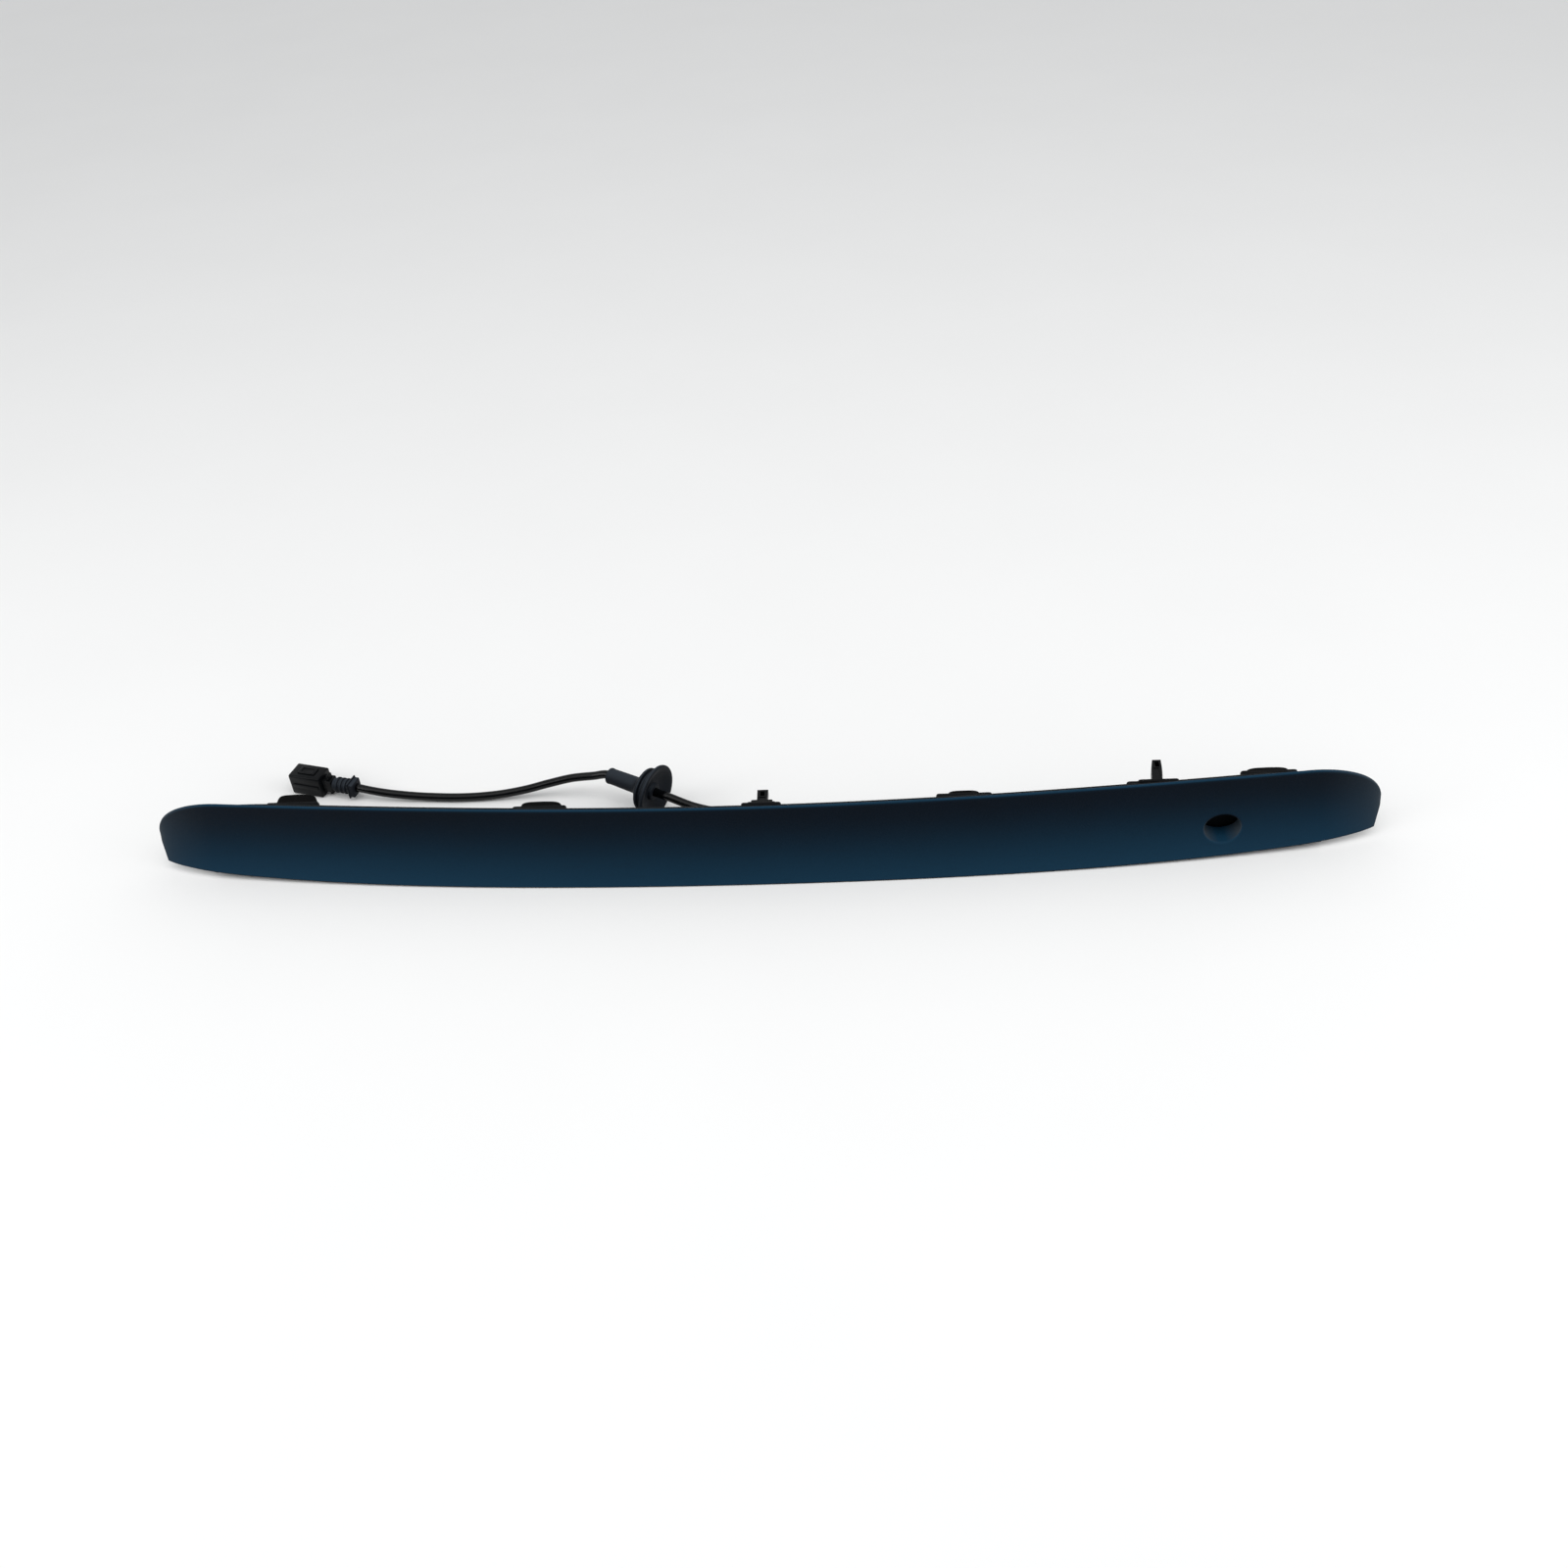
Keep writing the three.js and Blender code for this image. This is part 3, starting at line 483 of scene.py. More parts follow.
def build_grain_group():
    """Moulded grain: cells and fine noise as a height, and slow noise as a mottling mask."""
    group, given, out = new_group("moulded_grain", [
        ("Vector", "NodeSocketVector", None), ("Scale", "NodeSocketFloat", 1500.0)], ["Height", "Mottle"])
    where, scale = given.outputs["Vector"], given.outputs["Scale"]
    cells = add_node(group, "ShaderNodeTexVoronoi", {"feature": "SMOOTH_F1"}, Vector=where, Scale=scale)
    finer = arithmetic(group, "MULTIPLY", scale, 2.3)
    fine = add_node(group, "ShaderNodeTexNoise", Vector=where, Scale=finer, Detail=3.0)
    slow = add_node(group, "ShaderNodeTexNoise", Vector=where, Scale=38.0, Detail=4.0)
    height = arithmetic(group, "MULTIPLY_ADD", cells.outputs["Distance"], 0.7, fine.outputs[0])
    group.links.new(height, out.inputs["Height"])
    group.links.new(slow.outputs[0], out.inputs["Mottle"])
    return group


def build_scuff_group():
    """Handling marks: stretched noise sharpened into faint streaks, as a mask."""
    group, given, out = new_group("scuffs", [
        ("Vector", "NodeSocketVector", None), ("Amount", "NodeSocketFloat", 0.3)], ["Mask"])
    lie = add_node(group, "ShaderNodeMapping", Vector=given.outputs["Vector"],
                   Rotation=(0.3, 0.2, 0.5), Scale=(60.0, 420.0, 420.0))
    streaks = add_node(group, "ShaderNodeTexNoise", Vector=lie.outputs[0], Scale=1.0, Detail=5.0)
    sharp = ranged(group, streaks.outputs[0], 0.6, 0.75)
    mask = arithmetic(group, "MULTIPLY", sharp, given.outputs["Amount"])
    group.links.new(mask, out.inputs["Mask"])
    return group


def build_dust_group():
    """Dust: small round specks at the centres of scattered cells, as a mask."""
    group, given, out = new_group("dust", [
        ("Vector", "NodeSocketVector", None), ("Scale", "NodeSocketFloat", 160.0),
        ("Size", "NodeSocketFloat", 0.05), ("Share", "NodeSocketFloat", 0.3)], ["Mask"])
    cells = add_node(group, "ShaderNodeTexVoronoi", None,
                     Vector=given.outputs["Vector"], Scale=given.outputs["Scale"])
    near = arithmetic(group, "LESS_THAN", cells.outputs["Distance"], given.outputs["Size"])
    parts = add_node(group, "ShaderNodeSeparateColor", Color=cells.outputs["Color"])
    chosen = arithmetic(group, "LESS_THAN", parts.outputs[0], given.outputs["Share"])
    group.links.new(arithmetic(group, "MULTIPLY", near, chosen), out.inputs["Mask"])
    return group


def build_painted_light_group():
    """Painted light and shade: masks of how far the surface faces up and how far it faces along the bar, for
    colours that stand in for how the light falls on it.
    """
    group, given, out = new_group("haze", [("Normal", "NodeSocketVector", None)], ["Up", "Along"])
    parts = add_node(group, "ShaderNodeSeparateXYZ", Vector=given.outputs["Normal"])
    sideways = arithmetic(group, "ABSOLUTE", parts.outputs["X"])
    group.links.new(ranged(group, parts.outputs["Z"], 0.0, 0.7), out.inputs["Up"])
    group.links.new(ranged(group, sideways, 0.14, 0.75), out.inputs["Along"])
    return group


GROUP_BUILDERS = {
    "moulded_grain": build_grain_group, "scuffs": build_scuff_group,
    "dust": build_dust_group, "haze": build_painted_light_group}


def placed_group(tree, name, **inputs):
    """A node that uses a shader group, which is built the first time."""
    group = bpy.data.node_groups.get(name) or GROUP_BUILDERS[name]()
    node = tree.nodes.new("ShaderNodeGroup")
    node.node_tree = group
    for label, value in inputs.items():
        if isinstance(value, bpy.types.NodeSocket):
            tree.links.new(value, node.inputs[label])
        else:
            node.inputs[label].default_value = value
    return node


# ---------------------------------------------------------------- materials
# Each finish: base colour (or a name in the finish settings), a second tone as a share of it, roughness
# low and high, grains per metre, grain depth in metres, scuffs, dust, settings of the shader itself, and
# for some a painted light: colours painted where the surface faces up, and where it faces along the bar,
# standing in for light and shade.

FINISHES = {
    # The cover's painted light: paler blue where it faces up and grey where it faces along the bar near the
    # ends, standing in for overhead light on the flare and a sheen.
    "cover_plastic": dict(colour="cover", tone=1.2, rough=(0.42, 0.5), grain=1500, depth=0.00009,
                          scuff=0.12, dust=0.5, haze=((0.006, 0.03, 0.058), (0.034, 0.046, 0.058)),
                          shader={"Specular IOR Level": 0.05}),
    "carrier_plastic": dict(colour="plain", tone=1.2, rough=(0.38, 0.55), grain=900, depth=0.00004,
                            scuff=0.2, dust=0.1, shader={"Specular IOR Level": 0.05}),
    "clip_plastic": dict(colour="plain", tone=1.3, rough=(0.25, 0.38), grain=1800, depth=0.00003,
                         scuff=0.2, dust=0.0, shader={"Specular IOR Level": 0.1}),
    "foam": dict(colour=(0.003, 0.003, 0.0032), tone=1.6, rough=(0.85, 1.0), grain=2600, depth=0.0004,
                 scuff=0.0, dust=0.2, shader={"Specular IOR Level": 0.05}),
    # The rubber's painted light: lighter where it faces up, and only a little lighter where it faces along
    # the bar, standing in for light from above.
    "rubber": dict(colour="rubber", tone=1.4, rough=(0.5, 0.7), grain=1300, depth=0.00005,
                   scuff=0.3, dust=0.3, haze=((0.02, 0.026, 0.034), (0.006, 0.008, 0.012)),
                   shader={"Specular IOR Level": 0.12}),
    "cable_sheath": dict(colour="sheath", tone=1.3, rough=(0.12, 0.2), grain=500, depth=0.00006,
                         scuff=0.2, dust=0.0, shader={"Specular IOR Level": 0.2}),
    "reflector_white": dict(colour=(0.8, 0.81, 0.82), tone=0.94, rough=(0.12, 0.2), grain=700, depth=0.00001,
                            scuff=0.1, dust=0.0, shader={"Coat Weight": 0.3}),
    "board_green": dict(colour=(0.012, 0.11, 0.045), tone=1.6, rough=(0.25, 0.4), grain=1200, depth=0.00003,
                        scuff=0.1, dust=0.0, shader={"Coat Weight": 0.4}),
    "led_body": dict(colour=(0.82, 0.76, 0.5), tone=0.85, rough=(0.15, 0.3), grain=3000, depth=0.00001,
                     scuff=0.0, dust=0.0, shader={}),
    "chip_black": dict(colour=(0.02, 0.02, 0.022), tone=1.6, rough=(0.35, 0.5), grain=4000, depth=0.00001,
                       scuff=0.1, dust=0.0, shader={}),
    "steel": dict(colour=(0.55, 0.56, 0.6), tone=0.75, rough=(0.25, 0.42), grain=2500, depth=0.00002,
                  scuff=0.5, dust=0.0, shader={"Metallic": 1.0}),
    "brass": dict(colour=(0.62, 0.4, 0.13), tone=0.7, rough=(0.22, 0.4), grain=2200, depth=0.00002,
                  scuff=0.4, dust=0.0, shader={"Metallic": 1.0}),
    "wire_red": dict(colour=(0.42, 0.02, 0.015), tone=0.8, rough=(0.25, 0.4), grain=900, depth=0.00003,
                     scuff=0.2, dust=0.0, shader={}),
    "wire_brown": dict(colour=(0.13, 0.06, 0.03), tone=0.8, rough=(0.25, 0.4), grain=900, depth=0.00003,
                       scuff=0.2, dust=0.0, shader={}),
}
DUST_COLOUR, DUST_SCALE, DUST_SIZE = (0.32, 0.33, 0.34), 150.0, 0.03


def finish_colour(value):
    """A colour as given, or the setting of that name."""
    if isinstance(value, str):
        value = getattr(bpy.context.scene.brake_light_finish, value)
    return tuple(value)


def material(name):
    """The named finish as a material, made the first time it is asked for.

    The frame's own materials are named after the slots, so these names end in _finish.
    """
    found = bpy.data.materials.get(f"{name}_finish")
    return found or (lens_material() if name == "lens_red" else solid_material(name))


def solid_material(name):
    """An opaque finish: two mottled tones, for some a painted light and shade by which way the surface faces,
    scuffs that lighten and roughen, dust specks, and a grain.
    """
    spec = FINISHES[name]
    made, tree, shader, place = new_material(f"{name}_finish")
    where = place["Object"]
    grain = placed_group(tree, "moulded_grain", Vector=where, Scale=float(spec["grain"]))
    scuffs = placed_group(tree, "scuffs", Vector=where, Amount=spec["scuff"])
    colour = finish_colour(spec["colour"])
    other = tuple(min(1.0, c * spec["tone"]) for c in colour)
    worn = tuple(min(1.0, c * 1.6 + 0.004) for c in colour)
    shown = mixed(tree, ranged(tree, grain.outputs["Mottle"], 0.35, 0.65), colour, other)
    # Painted light and shade: the colour is changed where the surface faces up and where it faces along the
    # bar, standing in for how the light falls.
    if "haze" in spec:
        haze = placed_group(tree, "haze", Normal=place["Normal"])
        for mask, painted_colour in zip(("Up", "Along"), spec["haze"]):
            shown = mixed(tree, haze.outputs[mask], shown, painted_colour)
    shown = mixed(tree, scuffs.outputs["Mask"], shown, worn)
    if spec["dust"]:
        dust = placed_group(tree, "dust", Vector=where, Scale=DUST_SCALE, Size=DUST_SIZE,
                            Share=spec["dust"] * 0.06)
        shown = mixed(tree, dust.outputs["Mask"], shown, DUST_COLOUR)
    tree.links.new(shown, shader.inputs["Base Color"])
    rough = ranged(tree, grain.outputs["Mottle"], 0.3, 0.7, *spec["rough"])
    tree.links.new(rough, shader.inputs["Roughness"])
    bump = add_node(tree, "ShaderNodeBump", Height=grain.outputs["Height"],
                    Strength=1.0, Distance=spec["depth"])
    tree.links.new(bump.outputs[0], shader.inputs["Normal"])
    for label, value in spec["shader"].items():
        shader.inputs[label].default_value = value
    return made


def lens_material():
    """Clear red plastic: tinted transmission under a smooth surface with faint flow marks."""
    made, tree, shader, place = new_material("lens_red_finish")
    grain = placed_group(tree, "moulded_grain", Vector=place["Object"], Scale=260.0)
    colour = finish_colour("lens")
    deeper = tuple(c * 0.72 for c in colour)
    tree.links.new(mixed(tree, grain.outputs["Mottle"], colour, deeper), shader.inputs["Base Color"])
    bump = add_node(tree, "ShaderNodeBump", Height=grain.outputs["Height"],
                    Strength=0.4, Distance=0.00002)
    tree.links.new(bump.outputs[0], shader.inputs["Normal"])
    rough = ranged(tree, grain.outputs["Mottle"], 0.0, 1.0, 0.03, 0.09)
    tree.links.new(rough, shader.inputs["Roughness"])
    shader.inputs["Transmission Weight"].default_value = 0.75
    shader.inputs["IOR"].default_value = 1.49
    return made


# ---------------------------------------------------------------- cover

def window_loop(rows, columns, width):
    """Indices round a window of a grid, going along its first row, down its last column, and back."""
    (i0, i1), (j0, j1) = rows, columns
    step = 1 if j1 > j0 else -1
    across = np.arange(j0, j1, step)
    along = np.arange(i0, i1)
    return np.concatenate([
        along * width + j0, i1 * width + across,
        np.arange(i1, i0, -1) * width + j1, i0 * width + np.arange(j1, j0, -step)])


def cover_skin(shape):
    """The cover: sections of face, rounded rim, back and rounded lip, with a tunnel for the nozzle.

    The end sections thin down to a round edge. Round the tunnel, rings run from the edge of a window in
    the face to the nozzle's ellipse, back along the collar and out to the same window in the back.
    """
    half, middle = HALF_LENGTH - 0.4, COVER_WALL / 2
    tip = half - middle * (1 - np.sin(np.linspace(0, 0.48 * math.pi, 6)))
    body = stations(half - middle, shape.stations, 26)
    x = np.concatenate([-tip[:0:-1], body, tip[1:]])
    thin = np.sqrt(1 - np.clip((np.abs(x) - (half - middle)) / middle, 0, 0.998) ** 2)
    radius = (middle * thin)[:, None]
    low, high = outline_bottom(x)[:, None] + radius, outline_top(x)[:, None] - radius
    rows = shape.rows
    z = low + (high - low) * np.linspace(0, 1, rows)
    y = face_y(x[:, None], z) + middle
    bend = np.linspace(0, math.pi, 9)[1:-1]
    over_y, over_z = y[:, -1:] - radius * np.cos(bend), z[:, -1:] + radius * np.sin(bend)
    under_y, under_z = y[:, :1] + radius * np.cos(bend), z[:, :1] - radius * np.sin(bend)
    loop_y = np.concatenate([y - radius, over_y, y[:, ::-1] + radius, under_y], axis=1)
    loop_z = np.concatenate([z, over_z, z[:, ::-1], under_z], axis=1)
    loop_x = np.broadcast_to(x[:, None], loop_y.shape)
    grid = np.stack([loop_x, loop_y, loop_z], axis=2)
    count, width = grid.shape[:2]
    points = grid.reshape(-1, 3)
    quads = ring_quads(count, width)

    i0, i1 = np.searchsorted(x, (NOZZLE_X - NOZZLE_WINDOW[0], NOZZLE_X + NOZZLE_WINDOW[0]))
    near = z[(i0 + i1) // 2]
    j0, j1 = np.searchsorted(near, (NOZZLE_Z - NOZZLE_WINDOW[1], NOZZLE_Z + NOZZLE_WINDOW[1]))
    first_back = rows + len(bend)
    k0, k1 = first_back + rows - 1 - j0, first_back + rows - 1 - j1
    row, column = np.divmod(quads[:, 0], width)
    inside = (row >= i0) & (row < i1)
    in_face = inside & (column >= j0) & (column < j1)
    in_back = inside & (column >= k1) & (column < k0)
    quads = quads[~(in_face | in_back)]
    front, back = window_loop((i0, i1), (j0, j1), width), window_loop((i0, i1), (k0, k1), width)

    half_axes, wall, round_off = np.array(NOZZLE_HALF), NOZZLE_WALL, 0.9
    edge = np.stack([points[front, 0], points[front, 2]], axis=1)
    centre = np.array([NOZZLE_X, NOZZLE_Z])
    angle = np.arctan2(*((edge - centre) / half_axes).T[::-1])
    compass = np.stack([np.cos(angle), np.sin(angle)], axis=1)
    collar_back = back_y(NOZZLE_X) - CARRIER_WALL - 1.8

    def on_face(grow, blend, offset):
        """A ring between the grown ellipse and the window's edge, on the face moved back by offset."""
        flat = (centre + compass * (half_axes + grow)) * (1 - blend) + edge * blend
        return np.column_stack([flat[:, 0], face_y(flat[:, 0], flat[:, 1]) + offset, flat[:, 1]])

    def at_depth(grow, depth):
        """A ring of the grown ellipse, all at one depth."""
        flat = centre + compass * (half_axes + grow)
        return np.column_stack([flat[:, 0], np.full(len(flat), depth), flat[:, 1]])

    rolls = np.linspace(0, math.pi / 2, 6)
    rings = [on_face(round_off, blend, 0) for blend in (0.75, 0.5, 0.28, 0.1)]
    rings += [on_face(round_off * (1 - math.sin(r)), 0, round_off * (1 - math.cos(r))) for r in rolls]
    rings += [at_depth(0, collar_back - 0.4), at_depth(0.4, collar_back), at_depth(wall - 0.4, collar_back),
              at_depth(wall, collar_back - 0.4)]
    rings += [on_face(wall, 0, COVER_WALL + 0.8), on_face(wall + 0.25, 0, COVER_WALL + 0.25)]
    rings += [on_face(wall + 0.8, blend, COVER_WALL) for blend in (0, 0.3, 0.6)]
    around = len(front)
    rows_of = [front, *(len(points) + np.arange(len(rings) * around).reshape(-1, around)), back]
    for here, there in zip(rows_of[:-1], rows_of[1:]):
        patch = np.stack([here, there, np.roll(there, -1), np.roll(here, -1)], axis=1)
        quads = np.concatenate([quads, patch[:, ::-1]])
    points = np.concatenate([points, *rings])
    ends = [list(np.arange(width)[::-1]), list(np.arange(width) + (count - 1) * width)]
    return outward(points, quads, ends)


class BRAKELIGHT_OT_cover(bpy.types.Operator):
    """Moulded cover with its nozzle hole, and the screw bosses on its back"""

    bl_idname = "brakelight.cover"
    bl_label = "Cover"

    def execute(self, context):
        shape = context.scene.brake_light_shape
        add_piece("cover", cover_skin(shape), "cover_plastic", ["outer_cover"], sharp=40)
        bosses = []
        for x in SCREW_X:
            front = float(face_y(x, SCREW_Z)) + COVER_WALL - 0.3
            back = float(back_y(x)) - CARRIER_WALL - GAP
            profile = [(1.9, front + 0.6), (1.9, back - 0.4), (2.3, back), (3.3, back), (3.6, back - 0.3),
                       (3.7, front + 1.2), (4.6, front + 0.3), (4.6, front), (1.9, front)]
            bosses.append(turned(profile, shape.turned_sides // 2, (x, 0, SCREW_Z)))
        add_piece("cover_screw_bosses", together(*bosses), "cover_plastic")
        return {"FINISHED"}


# ---------------------------------------------------------------- carrier

def lamp_y(x):
    """The lamp's middle line, just behind the rim's."""
    return rim_y(x) + 0.3


def strip(start, end, front, back, low, high, steps=60):
    """A box bent along the lamp: offsets front and back from its middle line."""
    x = np.linspace(start, end, steps)
    corner = np.array([(front, low), (back, low), (back, high), (front, high)])
    y = lamp_y(x)[:, None] + corner[:, 0]
    level = np.broadcast_to(corner[:, 1], y.shape)
    return ring_skin(np.stack([np.broadcast_to(x[:, None], y.shape), y, level], axis=2))


def carrier_top(x):
    """The carrier's top: level, and a little lower towards the two ends, by a square."""
    past = np.clip((np.abs(x) - CARRIER_FALL_START) / (CARRIER_HALF - CARRIER_FALL_START), 0, 1)
    return CARRIER_TOP - CARRIER_FALL * past**2


def channel_skin():
    """The carrier's channel: a rounded C section that follows the cover's sweep, closed flat at the ends."""
    x = stations(CARRIER_HALF, 150, 14)
    rings = []
    for at in x:
        wall, floor = CARRIER_WALL, float(lip_z(at))
        back, top = float(back_y(at)), float(carrier_top(at))
        low_front = float(face_y(at, floor + 1)) + COVER_WALL + 2 * GAP
        top_front = float(face_y(at, CARRIER_TOP)) + COVER_WALL + 2 * GAP
        section = [
            (low_front, floor), (back, floor), (back, top), (top_front, top),
            (top_front, top - wall), (back - wall, top - wall),
            (back - wall, floor + wall), (low_front + wall, floor + wall)]
        ring = rounded(section, (0.5, 1.2, 2.6, 0.5, 0.5, 0.9, 0.6, 0.5), 5)
        rings.append(np.column_stack([np.full(len(ring), at), ring]))
    return ring_skin(np.stack(rings))


class BRAKELIGHT_OT_carrier(bpy.types.Operator):
    """Channel behind the cover, with lands, bosses, ribs and every opening in it"""

    bl_idname = "brakelight.carrier"
    bl_label = "Carrier"

    def execute(self, context):
        shape = context.scene.brake_light_shape
        edge, sides = shape.edge / MM, shape.turned_sides // 2
        lands, bosses, cuts = [], [], []

        def bore(radius, low, high, x, z):
            """A round hole to cut, along y."""
            cuts.append(turned([(radius, low), (radius, high)], sides, (x, 0, z), wrap=False))

        for x in FIXING_X.values():
            back = float(back_y(x))
            outline = rectangle(*FIXING_LAND, LAND_CORNER, (x, FIXING_Z))
            lands.append(prism(outline, back - 1.4, back + LAND_DEPTH, edge))
            r, end = BOSS_RADIUS, back + BOSS_REACH
            profile = [(r, back - 1), (r, end - edge), (r - edge / 3, end - edge / 3), (r - edge, end)]
            bosses.append(turned(profile, sides, (x, 0, FIXING_Z), wrap=False))
            bore(BOSS_BORE, back - 9, back + 12, x, FIXING_Z)
        for x in CLIP_X.values():
            back, (wide, tall) = float(back_y(x)), np.array(CLIP_SLOT) / 2
            outline = rectangle(*CLIP_LAND_SIZE, LAND_CORNER, (x, CLIP_Z))
            lands.append(prism(outline, back - 1.2, back + CLIP_LAND, edge))
            cuts.append(box_skin((x - wide, x + wide), (back - 8, back + 6), (CLIP_Z - tall, CLIP_Z + tall)))
        for x in SCREW_X:
            back = float(back_y(x))
            seat = back + SCREW_LAND
            lands.append(turned([(5, back - 1), (5, seat - edge), (5 - edge, seat)], sides,
                                (x, 0, SCREW_Z), wrap=False))
            bore(2.1, back - 9, back + 9, x, SCREW_Z)
        back = float(back_y(REST_RIB_X))
        outline = rectangle(9, 7, LAND_CORNER, (REST_RIB_X, CARRIER_TOP - 5))
        lands.append(prism(outline, back - 1, back + 2.6, edge))
        taken = np.array([*FIXING_X.values(), *CLIP_X.values(), *SCREW_X, VENT_X, GLAND_X])
        for x in np.arange(-315.0, 316.0, RIB_PITCH):
            if np.abs(x - taken).min() > RIB_CLEARANCE:
                back = float(back_y(x))
                lands.append(prism(rectangle(*RIB_SIZE, 0.7, (x, RIB_Z)), back - 1, back + 0.8, 0.3))
        bore(GLAND_RADIUS, -20, 20, GLAND_X, GLAND_Z)
        bore(VENT_BORE, -20, 20, VENT_X, VENT_Z)
        cuts.append(strip(2 - LAMP_HALF, LAMP_HALF - 2, *LENS_OPENING))
        walls = []
        for side in (-1, 1):
            heights = np.linspace(3, float(carrier_top(CARRIER_HALF)) - 1, 12)
            x = np.array([side * (CARRIER_HALF - CARRIER_WALL), side * CARRIER_HALF])
            front = face_y(x[:, None], heights) + COVER_WALL + 2 * GAP
            loop_y = np.concatenate([front, np.repeat(back_y(x)[:, None] - 0.6, 2, axis=1)], axis=1)
            loop_z = np.concatenate([heights, heights[[-1, 0]]])
            walls.append(ring_skin(np.stack([np.broadcast_to(x[:, None], loop_y.shape), loop_y,
                                             np.broadcast_to(loop_z, loop_y.shape)], axis=2)))
        made = carved("carrier_channel", channel_skin(), ("UNION", walls), ("UNION", lands),
                      ("UNION", bosses), ("DIFFERENCE", cuts))
        finish_piece(made, "carrier_plastic", ["carrier"])
        return {"FINISHED"}


# ---------------------------------------------------------------- fixings

def seal_skin(x, half_width, thickness, sides=120):
    """A foam ring: from a round bore out to a rounded rectangle, with a crowned top and bulging sides."""
    low = float(back_y(x)) + LAND_DEPTH + GAP
    bore = BOSS_RADIUS + GAP
    angle = np.linspace(0, 2 * math.pi, sides, endpoint=False)
    direction = np.stack([np.cos(angle), np.sin(angle)], axis=1)
    half = np.array([half_width, 6.5])
    power = 5.0
    reach = 1 / (np.abs(direction / half) ** power).sum(1) ** (1 / power)
    inner, outer = direction * bore, direction * reach[:, None]
    top = float(back_y(x)) + thickness
    spread, rise = np.transpose([
        (0, 0.1), (0, 0.86), (0.04, 0.95), (0.12, 0.99), (0.3, 1), (0.55, 1), (0.8, 0.99), (0.93, 0.96),
        (0.985, 0.88), (1, 0.74), (1.012, 0.55), (1.012, 0.32), (1, 0.1), (0.97, 0), (0.5, 0), (0.04, 0)])
    flat = inner[None] * (1 - spread)[:, None, None] + outer[None] * spread[:, None, None]
    level = np.broadcast_to((low + (top - low) * rise)[:, None], flat.shape[:2])
    rings = np.concatenate([flat, level[..., None]], axis=2)
    return ring_skin(placed(rings, (x, 0, FIXING_Z), TO_BACK), wrap=True)


class BRAKELIGHT_OT_seals(bpy.types.Operator):
    """Foam seals round the four bosses"""

    bl_idname = "brakelight.seals"
    bl_label = "Foam seals"

    def execute(self, context):
        for name, x in FIXING_X.items():
            node = f"foam_seal_{name}"
            low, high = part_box(node)
            half_width = (high.x - low.x) / 2 / MM
            skin = seal_skin(x, half_width, high.y / MM - float(back_y(x)))
            made = add_piece(f"seal_{name}", skin, "foam", [node], sharp=60)
        return {"FINISHED"}


class BRAKELIGHT_OT_inserts(bpy.types.Operator):
    """Knurled brass thread inserts in the bosses"""

    bl_idname = "brakelight.inserts"
    bl_label = "Thread inserts"

    def execute(self, context):
        sides = context.scene.brake_light_shape.turned_sides * 2
        for name, x in FIXING_X.items():
            node = f"thread_insert_{name}"
            low, high = (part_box(node)[k].y / MM for k in (0, 1))
            turns = np.arange(low + 1.2, high - 0.6, 0.4)
            crest = np.where(np.arange(len(turns)) % 2, 2.0, 2.4)
            outside = [(2.6, low), (3.2, low), (3.5, low + 0.4), (3.5, high - 4.6), (3.05, high - 4.2),
                       (3.05, high - 3.4), (3.5, high - 3.0), (3.5, high - 0.3), (3.25, high), (2.7, high)]
            inside = [(2.4, high - 0.35), *zip(crest[::-1], turns[::-1]), (2.2, low + 0.8)]
            made = turned(outside + inside, sides, (x, 0, FIXING_Z), flutes=(3.3, 0.07, 36))
            add_piece(f"insert_{name}", made, "brass", [node])
        return {"FINISHED"}


def clip_object(name, flange, step, width, belly, taper, lean, slot_length):
    """A clip: a shank, two stacked flanges and a slotted post whose sides bulge, taper and lean over.

    Flange and step are each (width, depth).
    """
    box_low, box_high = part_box(f"locating_clip_{name}")
    x, z, edge = CLIP_X[name], CLIP_Z, 0.35
    base = float(back_y(x)) + CLIP_LAND + GAP
    tip = box_high.y / MM
    wide = prism(rectangle(flange[0], 11, 1.5, (x, z)), base, base + flange[1], edge)
    step_base = base + flange[1] - 0.1
    raised = prism(rectangle(step[0], 8.4, 1, (x, z)), step_base - 0.3, step_base + step[1], edge)
    shank = prism(rectangle(4.4, 2.4, 0.4, (x, z)), box_low.y / MM, base + 0.6, edge)
    t = np.linspace(0, 1, 24)
    half = width / 2 + belly * np.sin(math.pi * t) - taper * t**2
    middle = x + lean * t
    run = base + 1 + (tip - base - 1) * t
    right, left = np.column_stack([middle + half, run]), np.column_stack([middle - half, run])
    post = prism(np.concatenate([right, left[::-1]]), z - 2.6, z + 2.6, edge, axes=np.eye(3))
    at = x + lean * 0.9
    slot = box_skin((at - 1.3, at + 1.3), (tip - slot_length - 1.8, tip - 1.8), (z - 1, z + 9))
    across = (x + lean * 0.5 - width / 2 + 1.2, x + lean * 0.5 + width / 2 - 1.2)
    sink = box_skin(across, (step_base + step[1] + 1, tip - slot_length - 2.8), (z + 2.2, z + 9))
    made = carved(f"clip_{name}", wide, ("UNION", [raised]), ("UNION", [shank, post]),
                  ("DIFFERENCE", [slot, sink]))
    return finish_piece(made, "clip_plastic", [f"locating_clip_{name}"])


class BRAKELIGHT_OT_clips(bpy.types.Operator):
    """The two locating clips, each a stepped flange with a post"""

    bl_idname = "brakelight.clips"
    bl_label = "Locating clips"

    def execute(self, context):
        clip_object("centre", (17.3, 2.6), (13, 3.4), 6.2, 0, -0.2, 0, 4)
        clip_object("right", (19, 1.6), (9, 0.6), 5.8, 0.4, 0.3, 2.6, 5)
        return {"FINISHED"}


